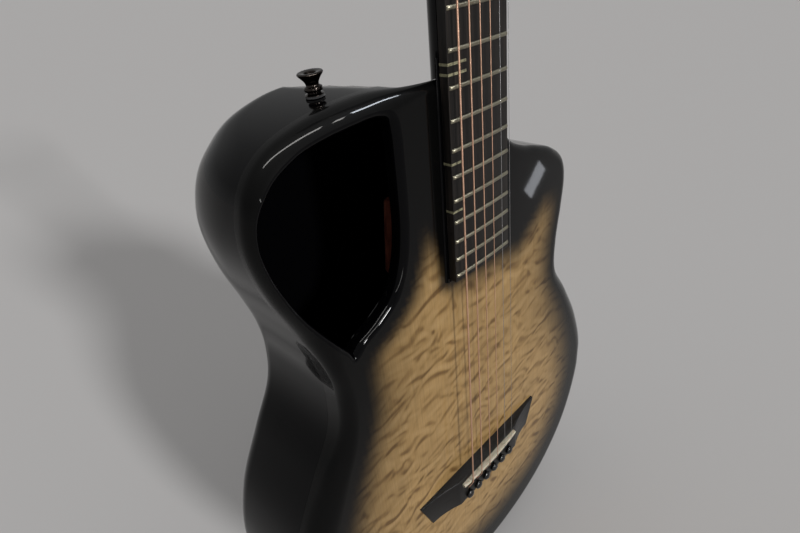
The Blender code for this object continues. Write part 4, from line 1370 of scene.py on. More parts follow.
    def lip(self) -> Object:
        """The rolled rim: a quarter round from the top into the hole, and the short wall below it.

        Returns:
            A closed ring.
        """
        bm = bmesh.new()
        rings = loft(bm, self.lip_sections(), closed=False)
        bmesh.ops.bridge_loops(bm, edges=ring_edges(bm, rings[0]) + ring_edges(bm, rings[-1]))
        bmesh.ops.recalc_face_normals(bm, faces=bm.faces[:])
        return finished(bm, "soundhole_lip", 50.0)

    def bar(self) -> Object:
        """The rounded bar that stands on the underside of the top beside the soundhole.

        Returns:
            The bar.
        """
        start, end = Vector(self.bar_start), Vector(self.bar_end)
        along, middle = end - start, (start + end) / 2
        half = Vector((self.bar_width, self.bar_depth, along.length)) / 2
        depth = LAYOUT.soundboard_y + self.thickness + half.y
        place = posed((middle[0], depth, middle[1]), math.atan2(along[0], along[1]), "Y")
        bm = bmesh.new()
        rounded_block(bm, -half, half, self.bar_width * self.bar_round, 8, place)
        return finished(bm, "top_bar")

    def paint_burst(self, mesh: bpy.types.Mesh) -> None:
        """Stores how black the top is at each vertex: the burst from its distance to the edge and the hole,
        and darker bands beside the neck and in from the edge.

        Args:
            mesh: The mesh of the top.
        """
        places = np.empty(len(mesh.vertices) * 3)
        mesh.vertices.foreach_get("co", places)
        plan = places.reshape(-1, 3)[:, (0, 2)]
        x, z = plan.T
        low = np.clip((self.waist_z - z) / self.waist_span, 0.0, 1.0)
        share = np.clip(x / self.side_span + 0.5, 0.0, 1.0)
        full = (1 - share) * (self.bass_band[0] + low * self.bass_band[1])
        full += share * (self.treble_band[0] + low * self.treble_band[1])
        soft = (1 - share) * (self.bass_soft[0] + low * self.bass_soft[1])
        soft += share * (self.treble_soft[0] + low * self.treble_soft[1])
        inside = distance_to(plan, OUTLINE.loop)[0] - full
        edge = fade(inside / soft, 0.0, 1.0)
        hole = fade(distance_to(plan, OUTLINE.hole)[0], *self.hole_band)
        # Darker within a band round the fretboard's end and sides.
        beside = np.maximum(np.abs(x) - LAYOUT.body_half_width, 0.0)
        below = np.maximum(LAYOUT.fretboard_end_z - z, 0.0)
        neck = fade(np.hypot(beside, below), *self.neck_band)
        level = np.interp(x, self.burst_top_x, self.burst_top_z)
        widening = np.interp(x, self.level_soft_x, self.level_soft)
        upper = fade(level - z, -self.level_span * widening, self.level_span)
        # Darker over a wide band in from the edge.
        wide_edge_darkening = self.wide_edge_darkening * fade(inside, *self.wide_edge_reach)
        clear = (1 - edge) * (1 - hole) * (1 - neck) * (1 - upper) * (1 - wide_edge_darkening)
        stored = mesh.attributes.new("burst", "FLOAT", "POINT").data
        stored.foreach_set("value", (1 - clear).astype(np.float32))


@dataclass
class BodyShell:
    """The moulded sides and back, the round cover in the back and the cover's screws."""

    wall: float = 3 * MM
    side_shares: tuple[float, ...] = (0.002, 0.25, 0.5, 0.75)
    back_steps: int = 18
    hatch_x: float = -16.8 * MM
    hatch_z: float = 333.3 * MM
    hatch_radius: float = 36 * MM
    hatch_flange: float = 6 * MM
    hatch_rebate: float = 1.5 * MM
    hatch_depth: float = 4.2 * MM
    hatch_play: float = 0.3 * MM
    cut_over: float = 10 * MM
    screws: int = 6
    screw_inset: float = 3 * MM
    screw: tuple[Pair, ...] = ((0.0, 0.02), (1.4, 0.02), (1.7, -0.1), (1.2, -0.6), (0.0, -0.6))

    def build(self) -> None:
        """Builds and dresses the shell, its cover and the cover's countersunk screws."""
        shell = self.skin()
        thicken(shell, self.wall)
        tool = bmesh.new()
        turned(tool, self.way_profile(), self.hatch_frame, 96)
        carve(shell, tool)
        make_piece(shell, (BODY_LACQUER, SHELL_INSIDE), "body_shell")
        cover = bmesh.new()
        turned(cover, self.cover_profile(), self.hatch_frame, 128)
        make_piece(finished(cover, "back_cover"), (HATCH_LACQUER,), "hatch_cover")
        heads = bmesh.new()
        out = Matrix.Translation((self.hatch_radius + self.screw_inset, 0.0, 0.0))
        for number in range(self.screws):
            turn = Matrix.Rotation(FULL_TURN * number / self.screws, 4, "Z")
            turned(heads, millimetres(*self.screw), self.hatch_frame @ turn @ out, 24)
        make_piece(finished(heads, "cover_screws"), (DARK_CHROME,))

    def skin(self) -> Object:
        """The outer surface, from the parting line down the sides and round into the flat back.

        Returns:
            The open skin, facing outwards.
        """
        sections = [OUTLINE.side_ring(share) for share in self.side_shares]
        for inward, rest in quarter_arc(self.back_steps):
            ring = []
            for point, normal in zip(OUTLINE.loop, OUTLINE.normals):
                x, z = moved_out(point, normal, -point[3] * inward)
                rise = point[4] * rest
                z -= OUTLINE.rake_drop(x, LAYOUT.back_y(z) - rise, point[1])
                ring.append(Vector((x, LAYOUT.back_y(z) - rise, z)))
            sections.append(ring)
        return finished(open_skin(sections)[0], "moulded_shell")

    @property
    def hatch_frame(self) -> Matrix:
        """The cover's frame: z points out of the back."""
        place = (self.hatch_x, LAYOUT.back_y(self.hatch_z), self.hatch_z)
        return posed(place, math.atan(LAYOUT.back_slope) - QUARTER_TURN)

    def way_profile(self) -> tuple[Pair, ...]:
        """The stepped hole for the cover, as radius and height."""
        narrow, over = self.hatch_radius + self.hatch_play, self.cut_over
        wide, step = narrow + self.hatch_flange, -self.hatch_rebate
        return (0.0, over), (wide, over), (wide, step), (narrow, step), (narrow, -over), (0.0, -over)

    def cover_profile(self) -> list[Pair]:
        """The cover with its flange, softened at each corner.

        Returns:
            Radius and height of each point.
        """
        inner, foot = self.hatch_radius, -self.hatch_depth
        rim, seat = inner + self.hatch_flange, self.hatch_play - self.hatch_rebate
        corner = millimetres((-0.9, 0.0), (-0.45, -0.08), (-0.1, -0.35), (0.0, -0.7))
        profile = [(0.0, 0.0)] + [(rim + out, height) for out, height in corner]
        profile += [(rim, seat), (inner, seat)]
        heel = millimetres((0.0, 0.8), (-0.25, 0.25), (-0.8, 0.0), (-2.0, 0.0))
        profile += [(inner + out, foot + height) for out, height in heel]
        return profile + [(0.0, foot)]


@dataclass
class Neck:
    """The neck, the tongue under the fretboard's end and the headstock with its bushed holes."""

    depth_at_nut: float = 14.5 * MM
    depth_at_body: float = 18 * MM
    steps: int = 40
    squareness: float = 2.1
    nut_blend: float = 30 * MM
    blend_shares: tuple[float, ...] = (0.15, 0.4, 0.7, 1.0)
    edge_round: float = 0.6 * MM
    tongue_proud: float = 0.9 * MM
    tongue_overhang: float = 2.5 * MM
    tongue_fillet: float = 1.2 * MM
    tongue_sink: float = 0.02 * MM
    tongue_past: float = 12 * MM
    tongue_round: float = 0.35 * MM
    head_stations: tuple[Place, ...] = (
        (0.0, 0.0222, 2.1),
        (0.008, 0.0235, 3.0),
        (0.018, 0.0300, 5.0),
        (0.030, 0.0345, 9.0),
        (0.045, 0.0355, 12.0),
        (0.130, 0.0385, 12.0),
        (0.160, 0.0370, 12.0),
        (0.172, 0.0310, 12.0),
        (0.179, 0.0220, 12.0),
        (0.182, 0.0120, 12.0),
    )
    head_half_width: float = 38.5 * MM
    head_steps: int = 4
    post_hole: float = 4.5 * MM
    post_hole_reach: float = 30 * MM
    bushing: tuple[Pair, ...] = (
        (3.2, 1.2), (4.0, 1.5), (4.8, 1.3), (5.4, 0.7), (5.6, 0.02), (4.4, 0.02), (4.4, -3.0), (3.2, -3.0),
        (3.2, 1.2),
    )  # fmt: skip

    def build(self) -> None:
        """Builds and dresses the neck, the tongue and the bushings pressed in round the posts."""
        neck = lofted("neck_and_head", self.sections(), 50.0)
        tool, rings = bmesh.new(), bmesh.new()
        for index in range(6):
            x, z, _ = LAYOUT.post_place(index)
            place = LAYOUT.head_frame @ posed((x, 0.0, z), QUARTER_TURN)
            drum(tool, self.post_hole, self.post_hole_reach, place)
            turned(rings, millimetres(*self.bushing), place)
        carve(neck, tool)
        soften(neck, self.edge_round)
        make_piece(neck, (NECK_LACQUER,), "neck")
        ends = [self.tongue_section(z, proud) for z, proud in self.tongue_ends()]
        tongue = lofted("neck_tongue", ends, 50.0)
        soften(tongue, self.tongue_round)
        make_piece(tongue, (NECK_LACQUER,))
        make_piece(finished(rings, "post_bushings"), (DARK_CHROME,))

    def section(self, z: float, half: float, front: float, depth: float, squareness: float) -> list[Vector]:
        """A section of the neck: flat in front and rounded behind.

        Args:
            z: Its height.
            half: Half its width.
            front: The place of its flat face.
            depth: How deep it is.
            squareness: 2 for a half round, more for a squarer back.

        Returns:
            The ring's points.
        """
        ring = []
        for step in range(self.steps + 1):
            angle = math.pi * step / self.steps
            across, behind = math.cos(angle), max(math.sin(angle), 0.0)
            x = half * math.copysign(abs(across) ** (2 / squareness), across)
            ring.append(Vector((x, front + depth * behind ** (2 / squareness), z)))
        return ring

    def sections(self) -> list[list[Vector]]:
        """All sections, from the heel, cut to the slope of the shoulder, to the tip of the headstock.

        Returns:
            The rings in order.
        """
        heel_z, front, square = LAYOUT.shoulder_z + LAYOUT.seat_gap, LAYOUT.neck_front_y, self.squareness
        heel = self.section(heel_z, LAYOUT.neck_half_width(heel_z), front, self.depth_at_body, square)
        rings = [[Vector((p.x, p.y, p.z - OUTLINE.rake * (p.y - OUTLINE.rake_start_y))) for p in heel]]
        blend_z = LAYOUT.nut_z - self.nut_blend
        for share in self.blend_shares:
            z = heel_z + (blend_z - heel_z) * share
            depth = self.depth_at_body + (self.depth_at_nut - self.depth_at_body) * share
            rings.append(self.section(z, LAYOUT.neck_half_width(z), front, depth, square))
        rings.append(self.section(LAYOUT.neck_top_z, LAYOUT.nut_half_width, front, self.depth_at_nut, square))
        thickness = LAYOUT.head_thickness / math.cos(LAYOUT.head_tilt)
        for along, half, squareness in self.head_curve():
            z = LAYOUT.neck_top_z + along * math.cos(LAYOUT.head_tilt)
            face = front + along * math.sin(LAYOUT.head_tilt)
            rings.append(self.section(z, half, face, thickness, squareness))
        return rings

    def head_curve(self) -> list[Vector]:
        """The headstock's stations on a smooth curve, without the one at the nut.

        Returns:
            Length along the headstock, half its width and its squareness, for each.
        """
        stations = [Vector(station) for station in self.head_stations]
        padded = [stations[0] * 2 - stations[1], *stations, stations[-1] * 2 - stations[-2]]
        curve = []
        for four in zip(padded, padded[1:], padded[2:], padded[3:]):
            for step in range(1, self.head_steps + 1):
                t = step / self.head_steps
                straight = four[1].lerp(four[2], t)
                straight[1] = min(curve_point(*four, t)[1], self.head_half_width)
                curve.append(straight)
        return curve

    def tongue_ends(self) -> tuple[Pair, ...]:
        """Height and overhang of the tongue at its end, at the shoulder and inside the neck."""
        far = LAYOUT.fretboard_end_z - self.tongue_overhang
        near = LAYOUT.shoulder_z + LAYOUT.seat_gap + self.tongue_past
        return (far, self.tongue_proud), (LAYOUT.shoulder_z, 0.1 * MM), (near, 0.0)

    def tongue_section(self, z: float, proud: float) -> list[Vector]:
        """A section of the tongue, with a fillet of lacquer where it meets the top.

        Args:
            z: Its height.
            proud: How far it stands out past the fretboard's edge.

        Returns:
            The ring's points.
        """
        half, foot = LAYOUT.neck_half_width(z) + proud, LAYOUT.soundboard_y - self.tongue_sink
        side = [Vector((half, LAYOUT.neck_front_y, z))]
        for out, up in quarter_arc(5):
            side.append(Vector((half + self.tongue_fillet * out, foot - self.tongue_fillet * up, z)))
        return side + [Vector((-p.x, p.y, p.z)) for p in reversed(side)]


@dataclass
class Fingerboard:
    """The fretboard, its frets, its position bars and the nut."""

    spans: int = 24
    board_round: float = 0.3 * MM
    frets: int = 20
    fret_half_width: float = 1.2 * MM
    fret_inset: float = 0.7 * MM
    fret_sink: float = 0.1 * MM
    fret_ends: tuple[Pair, ...] = ((1.0, 0.25), (0.985, 0.65), (0.955, 1.0))
    crown_points: int = 10
    crown_squareness: float = 0.8
    bar_width: float = 1.5 * MM
    bar_reach: float = 8.5 * MM
    bar_proud: float = 0.03 * MM
    bar_thickness: float = 0.5 * MM
    twelfth_reach: float = 15 * MM
    twelfth_offset: float = 2.7 * MM
    marked: tuple[int, ...] = (3, 5, 7, 9, 15, 17)
    nut_crest: float = 0.6 * MM
    nut_fall: float = 1.8 * MM
    nut_flat: float = 0.8 * MM
    nut_round: float = 0.25 * MM
    slot_play: float = 0.1 * MM
    slot_sink: float = 0.05 * MM
    cut_over: float = 5 * MM

    def build(self) -> None:
        """Builds and dresses the board, the frets, the bars and the nut."""
        ends = [self.board_section(z) for z in (LAYOUT.fretboard_end_z, LAYOUT.nut_z)]
        board = lofted("ebony_board", ends, 50.0)
        soften(board, self.board_round)
        make_piece(board, (FRETBOARD_EBONY,), "fretboard")
        for number in range(1, self.frets + 1):
            make_piece(self.fret(number), (FRET_METAL,), f"fret_{number:02d}")
        bars = bmesh.new()
        for number in self.marked:
            self.position_bar(bars, (LAYOUT.fret_z(number) + LAYOUT.fret_z(number - 1)) / 2, self.bar_reach)
        middle = (LAYOUT.fret_z(12) + LAYOUT.fret_z(11)) / 2
        for offset in (-self.twelfth_offset, self.twelfth_offset):
            self.position_bar(bars, middle + offset, self.twelfth_reach)
        make_piece(finished(bars, "position_bars"), (SHELL_STRIP,))
        nut = self.nut()
        soften(nut, self.nut_round, 2)
        make_piece(nut, (BONE,), "nut")

    def board_section(self, z: float) -> list[Vector]:
        """A section of the fretboard, with its cambered face.

        Args:
            z: Its height.

        Returns:
            The ring's points.
        """
        half, back = LAYOUT.neck_half_width(z), LAYOUT.fretboard_back_y
        face = [half * (2 * step / self.spans - 1) for step in range(self.spans + 1)]
        ring = [Vector((half, back, z)), Vector((-half, back, z))]
        return ring + [Vector((x, LAYOUT.board_y(x), z)) for x in face]

    def fret(self, number: int) -> Object:
        """One fret: a half round over the board's camber, filed down at both ends.

        Args:
            number: Which fret, from the nut.

        Returns:
            The fret.
        """
        z, wide = LAYOUT.fret_z(number), self.fret_half_width
        half = LAYOUT.neck_half_width(z) - self.fret_inset
        rise = LAYOUT.fret_crown + LAYOUT.seat_gap
        stations = [(-place, height) for place, height in self.fret_ends]
        stations += [(k / 8 - 0.875, 1.0) for k in range(15)] + list(reversed(self.fret_ends))
        sections = []
        for place, height in stations:
            x = half * place
            seat = LAYOUT.board_y(x)
            ring = [Vector((x, seat + self.fret_sink, z + edge)) for edge in (-wide, wide)]
            for step in range(self.crown_points + 1):
                angle = math.pi * step / self.crown_points
                up = rise * height * math.sin(angle) ** self.crown_squareness
                ring.append(Vector((x, seat - up, z + wide * math.cos(angle))))
            sections.append(ring)
        return lofted(f"fret_wire_{number:02d}", sections, 60.0)

    def position_bar(self, bm: BMesh, z: float, reach: float) -> None:
        """A bar let into the bass edge: across the board's face and down its side.

        Args:
            bm: The mesh it goes in.
            z: The middle of the bar.
            reach: How far it runs in from the edge.
        """
        half, proud, deep = LAYOUT.neck_half_width(z), self.bar_proud, self.bar_thickness
        low, high = z - self.bar_width / 2, z + self.bar_width / 2
        sections = []
        for step in range(9):
            x = -half - proud + reach * step / 8
            top = LAYOUT.board_y(x) - proud
            corners = ((top, low), (top, high), (top + deep, high), (top + deep, low))
            sections.append([Vector((x, y, along)) for y, along in corners])
        loft(bm, sections)
        block(bm, (-half - proud, LAYOUT.board_y(half), low), (-half + deep, LAYOUT.fretboard_back_y, high))

    def nut(self) -> Object:
        """The nut, rounded off towards the headstock, with its string slots.

        Returns:
            The nut.
        """
        low, high = LAYOUT.nut_z + LAYOUT.seat_gap, LAYOUT.neck_top_z
        sections = []
        for step in range(17):
            x = LAYOUT.nut_half_width * (step / 8 - 1)
            front = LAYOUT.fret_top_y + LAYOUT.camber_y(x) - LAYOUT.action_at_nut - self.nut_crest
            ring = [Vector((x, LAYOUT.neck_front_y, low)), Vector((x, LAYOUT.neck_front_y, high))]
            for share in (k / 6 for k in range(7)):
                z = high + (low + self.nut_flat - high) * share
                ring.append(Vector((x, front + self.nut_fall * (1 - share) ** 1.8, z)))
            sections.append(ring + [Vector((x, front, low))])
        nut = lofted("bone_nut", sections)
        tool = bmesh.new()
        for index, diameter in enumerate(LAYOUT.string_diameters):
            x, half = LAYOUT.string_x(index, LAYOUT.nut_z), diameter / 2 + self.slot_play
            floor = LAYOUT.string_seat_y(index, LAYOUT.nut_z) + self.slot_sink
            over = self.cut_over
            block(tool, (x - half, floor - over, low - over), (x + half, floor, high + over))
        carve(nut, tool)
        return nut


@dataclass
class Bridge:
    """The bridge with its scooped wings, the saddle and the six pins."""

    half_length: float = 80 * MM
    foot_half_length: float = 69 * MM
    above_saddle: float = 5.5 * MM
    below_saddle: float = 23.5 * MM
    tip_height: float = 2.2 * MM
    scoop: float = 1.8
    edge_round: float = 0.7 * MM
    wing_steps: int = 20
    play: float = 0.3 * MM
    cut_over: float = 10 * MM
    notch_depth: float = 4 * MM
    pin_hole_reach: float = 30 * MM
    saddle_half_length: float = 37.2 * MM
    saddle_margin: float = 3 * MM
    saddle_thickness: float = 3 * MM
    saddle_crest: float = 0.9 * MM
    saddle_end_fall: float = 1.2 * MM
    saddle_end: float = 0.96
    slot_depth: float = 3.5 * MM
    head_radius: float = 4.0 * MM
    head_height: float = 3.2 * MM
    pin_length: float = 22 * MM

    def build(self) -> None:
        """Builds and dresses the bridge, the saddle and the pins."""
        bridge = lofted("scooped_bridge", [self.section(x) for x in self.stations()], 30.0)
        tool = bmesh.new()
        half, side = self.saddle_half_length + self.play, self.saddle_thickness / 2 + self.play
        block(tool, (-half, -self.cut_over, -side), (half, self.slot_depth, side), self.saddle_frame)
        carve(bridge, tool)
        front, over = LAYOUT.bridge_front_y, self.cut_over
        for index, diameter in enumerate(LAYOUT.string_diameters):
            x, z = LAYOUT.pin_place(index)
            hole, notch = bmesh.new(), bmesh.new()
            place = posed((x, LAYOUT.soundboard_y, z), QUARTER_TURN)
            drum(hole, LAYOUT.pin_radius + self.play, self.pin_hole_reach, place, 32)
            carve(bridge, hole)
            wide = diameter / 2 + self.play
            block(notch, (x - wide, front - over, z), (x + wide, front + self.notch_depth, z + over))
            carve(bridge, notch)
        make_piece(bridge, (BRIDGE_EBONY,), "bridge")
        make_piece(self.saddle(), (BONE,), "saddle")
        for number in range(1, 7):
            name = f"bridge_pin_{number}"
            make_piece(self.pin(number), (PIN_PLASTIC,), name, name)

    @property
    def block_half(self) -> float:
        """Half the length of the full-height block."""
        return self.saddle_half_length + self.saddle_margin

    @property
    def saddle_frame(self) -> Matrix:
        """The saddle's frame on the bridge."""
        return posed((0.0, LAYOUT.bridge_front_y, LAYOUT.saddle_z), -LAYOUT.saddle_tilt, "Y")

    def stations(self) -> list[float]:
        """Where the bridge's sections stand, from one tip to the other."""
        steps, span = self.wing_steps, self.half_length - self.block_half
        wing = [self.block_half + span * k / steps for k in range(steps + 1)]
        return [-x for x in reversed(wing)] + wing

    def section(self, x: float) -> list[Vector]:
        """A section of the bridge across its length.

        Args:
            x: Where it stands.

        Returns:
            The ring's points.
        """
        share = max(0.0, abs(x) - self.block_half) / (self.half_length - self.block_half)
        base = LAYOUT.soundboard_y
        rise = (LAYOUT.bridge_height - self.tip_height) * (1 - share) ** self.scoop
        front = base - LAYOUT.seat_gap - self.tip_height - rise
        foot_x = x - math.copysign((self.half_length - self.foot_half_length) * share, x)
        top, foot = LAYOUT.saddle_z + self.above_saddle, LAYOUT.saddle_z - self.below_saddle
        width, arc = self.edge_round, quarter_arc(4)
        ring = [Vector((x, base, top))]
        ring += [Vector((x, front + width * deep, top - width * along)) for along, deep in arc]
        ring += [Vector((foot_x, front + width * deep, foot + width * along)) for along, deep in arc[::-1]]
        return ring + [Vector((foot_x, base, foot))]

    def saddle(self) -> Object:
        """The saddle, with a rounded crest that follows the camber and falls off at both ends.

        Returns:
            The saddle.
        """
        half, base = self.saddle_thickness / 2, self.slot_depth - self.play
        sections = []
        for share in (step / 16 - 1 for step in range(33)):
            x = self.saddle_half_length * share
            crest = LAYOUT.fret_top_y + LAYOUT.camber_y(x) - LAYOUT.action_at_saddle + LAYOUT.seat_gap
            crest -= LAYOUT.bridge_front_y
            end = max(0.0, abs(share) - self.saddle_end) / (1 - self.saddle_end)
            fall = self.saddle_crest + self.saddle_end_fall * end
            ring = [Vector((x, base, -half)), Vector((x, base, half))]
            for angle in (math.pi * k / 8 for k in range(9)):
                ring.append(Vector((x, crest + fall * (1 - math.sin(angle)), half * math.cos(angle))))
            sections.append([self.saddle_frame @ point for point in ring])
        return lofted("bone_saddle", sections, 50.0)

    def pin(self, number: int) -> Object:
        """One bridge pin: a domed head on a tapered shaft.

        Args:
            number: Which pin, from 1 on the bass side.

        Returns:
            The pin.
        """
        head, height, shaft, end = self.head_radius, self.head_height, LAYOUT.pin_radius, -self.pin_length
        dome = np.linspace(0.0, QUARTER_TURN, 9)
        profile = [(head * math.sin(a), height * (0.35 + 0.65 * math.cos(a))) for a in dome]
        profile += [(head * 0.99, height * 0.22), (head * 0.93, height * 0.1), (head * 0.82, 0.05 * MM)]
        profile += [(shaft + 0.3 * MM, 0.0), (shaft, -0.4 * MM), (shaft * 0.98, -3 * MM), (shaft * 0.85, end)]
        profile += [(shaft * 0.6, end - 0.8 * MM), (0.0, end - 1.2 * MM)]
        x, z = LAYOUT.pin_place(number - 1)
        bm = bmesh.new()
        turned(bm, profile, posed((x, LAYOUT.bridge_front_y - LAYOUT.seat_gap, z), QUARTER_TURN))
        return finished(bm, f"turned_pin_{number}")


@dataclass
class Strings:
    """The six strings: the open run, which stays with the guitar, and the turns on the post."""

    turns: tuple[int, ...] = (2, 2, 2, 2, 3, 3)
    turn_points: int = 32
    turn_gap: float = 0.6 * MM
    start_depth: float = 1.5 * MM
    start_offset: float = 1.5 * MM
    spare_turn: float = math.radians(16)
    spare_points: int = 3
    tail_run: float = 0.6 * MM
    run_slimness: float = 0.44

    def build(self) -> None:
        """Builds and dresses both pieces of each string."""
        for index, diameter in enumerate(LAYOUT.string_diameters):
            finish, slot = (BRONZE, Slot.WOUND) if index < LAYOUT.wound_strings else (STEEL, Slot.PLAIN)
            number = index + 1
            run = self.open_run(index)
            turns = self.winding(index, LAYOUT.head_frame.inverted() @ run[-1])
            wound = [LAYOUT.head_frame @ point for point in turns]
            open_mesh, wound_mesh = bmesh.new(), bmesh.new()
            tube(open_mesh, run + [wound[self.spare_points]], diameter * self.run_slimness)
            open_piece = finished(open_mesh, f"open_string_{number}", 60.0)
            make_piece(open_piece, (finish,), f"string_{number}")
            tube(wound_mesh, wound, diameter / 2)
            coil = finished(wound_mesh, f"string_turns_{number}", 60.0)
            make_piece(coil, (finish,), body=f"tuner_post_{number}")

    def open_run(self, index: int) -> list[Vector]:
        """The string from its pin over the saddle to the far side of the nut.

        Args:
            index: Which string, from the bass side.

        Returns:
            Points down its middle.
        """
        radius = LAYOUT.string_diameters[index] / 2
        pin_x, pin_z = LAYOUT.pin_place(index)
        start_z = pin_z + LAYOUT.pin_radius + LAYOUT.seat_gap + radius + self.start_offset
        start = Vector((pin_x, LAYOUT.bridge_front_y + self.start_depth, start_z))
        saddle_x = LAYOUT.string_x(index, LAYOUT.saddle_z)
        saddle_z = LAYOUT.saddle_z + saddle_x * math.tan(LAYOUT.saddle_tilt)
        saddle = Vector((saddle_x, LAYOUT.string_seat_y(index, LAYOUT.saddle_z) - radius, saddle_z))
        end_z = LAYOUT.neck_top_z
        nut_y = LAYOUT.string_seat_y(index, LAYOUT.nut_z) - radius
        nut = Vector((LAYOUT.string_x(index, end_z), nut_y, end_z))
        below, above = saddle.lerp(start, 0.08), saddle.lerp(nut, 0.0015)
        return [start, start.lerp(saddle, 0.5), below, saddle.lerp((below + above) / 2, 0.4), above, nut]

    def winding(self, index: int, nut: Vector) -> list[Vector]:
        """The turns of a string on its post, in the headstock's frame.

        Args:
            index: Which string, from the bass side.
            nut: Where it leaves the nut, in the same frame.

        Returns:
            The spare points before the one where the string meets the post, that one, and the turns.
        """
        diameter = LAYOUT.string_diameters[index]
        post_x, post_z, side = LAYOUT.post_place(index)
        wrap = LAYOUT.post_radius + LAYOUT.seat_gap + diameter / 2
        away = Vector((post_x - nut.x, post_z - nut.z))
        lean = math.asin(wrap / away.length)
        first = math.atan2(away.y, away.x) + side * (lean + QUARTER_TURN)
        pitch = diameter + self.turn_gap
        count = self.spare_points
        spare = [self.spare_turn * step / count / FULL_TURN for step in range(-count, 0)]
        wound = [step / self.turn_points for step in range(self.turn_points * self.turns[index] + 1)]
        points = []
        for turns in spare + wound:
            angle = first - side * FULL_TURN * turns
            x, z = post_x + wrap * math.cos(angle), post_z + wrap * math.sin(angle)
            points.append(Vector((x, pitch * max(turns, 0.0) - LAYOUT.wrap_height, z)))
        last_run = (points[-1] - points[-2]).normalized() * (2 * diameter + self.tail_run)
        return points + [points[-1] + last_run]


@dataclass
class Tuners:
    """The six tuning machines: the housing, the button on its worm shaft and the post."""

    housing: Place = (18.5 * MM, 10.5 * MM, 21 * MM)
    housing_offset: Pair = (1.5 * MM, 2.5 * MM)
    housing_round: float = 2 * MM
    collar: tuple[Pair, ...] = ((1.9, -1.0), (3.2, -1.0), (3.2, 0.5), (2.9, 0.8), (1.9, 0.8), (1.9, -1.0))
    wheel_radius: float = 4.2 * MM
    wheel_thickness: float = 2.6 * MM
    worm_radius: float = 1.9 * MM
    worm_half_length: float = 3.6 * MM
    shaft_radius: float = 1.7 * MM
    shaft_end: float = -6.0 * MM
    button_reach: float = 45.5 * MM
    button_size: Place = (13 * MM, 11 * MM, 18 * MM)
    button_round: float = 3.6 * MM
    button_collar: tuple[Pair, ...] = ((0.0, -7.0), (2.7, -7.2), (3.0, -8.4), (2.6, -9.6), (0.0, -9.8))
    post_height: float = 15 * MM
    post_shaft: float = 3.0 * MM
    post_neck: float = 1.8 * MM
    post_foot: float = -3.4 * MM
    post_cap: tuple[Pair, ...] = ((0.0, -0.5), (1.1, -0.5), (1.4, 0.0), (2.5, 0.0), (2.9, -0.15), (3.1, -0.6))

    def build(self) -> None:
        """Builds and dresses the three pieces of each machine."""
        for number in range(1, 7):
            make_piece(self.case(number), (DARK_CHROME,), f"tuner_housing_{number}")
            for part, piece in (("button", self.button(number)), ("post", self.post(number))):
                name = f"tuner_{part}_{number}"
                make_piece(piece, (DARK_CHROME,), name, name)

    @property
    def gear_y(self) -> float:
        """The depth of the gear behind the headstock's face."""
        return LAYOUT.head_thickness + LAYOUT.seat_gap + self.housing[1] / 2

    @property
    def worm_offset(self) -> float:
        """How far the worm's axis lies below the post's."""
        return self.wheel_radius + LAYOUT.seat_gap + self.worm_radius

    def case(self, number: int) -> Object:
        """The cast housing with rounded edges and a collar for the shaft.

        Args:
            number: Which machine, from 1 on the bass side.

        Returns:
            The housing.
        """
        x, z, side = LAYOUT.post_place(number - 1)
        centre = Vector((x + side * self.housing_offset[0], self.gear_y, z - self.housing_offset[1]))
        half = Vector(self.housing) / 2
        bm = bmesh.new()
        rounded_block(bm, centre - half, centre + half, self.housing_round, 5)
        mouth = (centre.x + side * half.x, self.gear_y, z - self.worm_offset)
        turned(bm, millimetres(*self.collar), posed(mouth, side * QUARTER_TURN, "Y"), 32)
        bmesh.ops.transform(bm, matrix=LAYOUT.head_frame, verts=bm.verts[:])
        return finished(bm, f"machine_housing_{number}", 40.0)

    def button(self, number: int) -> Object:
        """The worm, its shaft and the rounded button at its end.

        Args:
            number: Which machine, from 1 on the bass side.

        Returns:
            The button.
        """
        x, z, side = LAYOUT.post_place(number - 1)
        knob = Vector((0.0, 0.0, self.button_reach - LAYOUT.post_x))
        half = Vector(self.button_size) / 2
        shaft, worm, thread = self.shaft_radius, self.worm_radius, self.worm_half_length
        profile = [(0.0, knob.z), (shaft, knob.z), (shaft, thread), (worm, thread), (worm, -thread)]
        profile += [(shaft, -thread), (shaft, self.shaft_end), (0.0, self.shaft_end)]
        bm = bmesh.new()
        rounded_block(bm, knob - half, knob + half, self.button_round, 8)
        turned(bm, profile, Matrix.Identity(4), 32)
        turned(bm, millimetres(*self.button_collar), Matrix.Translation(knob), 32)
        place = posed((x, self.gear_y, z - self.worm_offset), side * QUARTER_TURN, "Y")
        bmesh.ops.transform(bm, matrix=LAYOUT.head_frame @ place, verts=bm.verts[:])
        return finished(bm, f"machine_button_{number}", 40.0)

    def post(self, number: int) -> Object:
        """The post from its capped head down to its wheel.

        Args:
            number: Which machine, from 1 on the bass side.

        Returns:
            The post.
        """
        x, z, _ = LAYOUT.post_place(number - 1)
        half, wheel = self.wheel_thickness / 2, self.wheel_radius
        slim, foot = self.shaft_radius, self.post_foot
        top, clear = self.gear_y + self.post_height, self.gear_y + self.post_neck
        wrap, radius, shaft = clear + LAYOUT.wrap_height, LAYOUT.post_radius, self.post_shaft
        profile = [(out, top + height) for out, height in millimetres(*self.post_cap)]
        profile += [(profile[-1][0], wrap), (profile[-2][0], wrap - 0.4 * MM), (radius, wrap - 0.8 * MM)]
        profile += [(radius, clear), (shaft, clear - 1 * MM), (shaft, half), (wheel, half), (wheel, -half)]
        profile += [(slim, -half), (slim, foot), (0.0, foot)]
        bm = bmesh.new()
        turned(bm, profile, LAYOUT.head_frame @ posed((x, self.gear_y, z), QUARTER_TURN))
        return finished(bm, f"machine_post_{number}", 30.0)


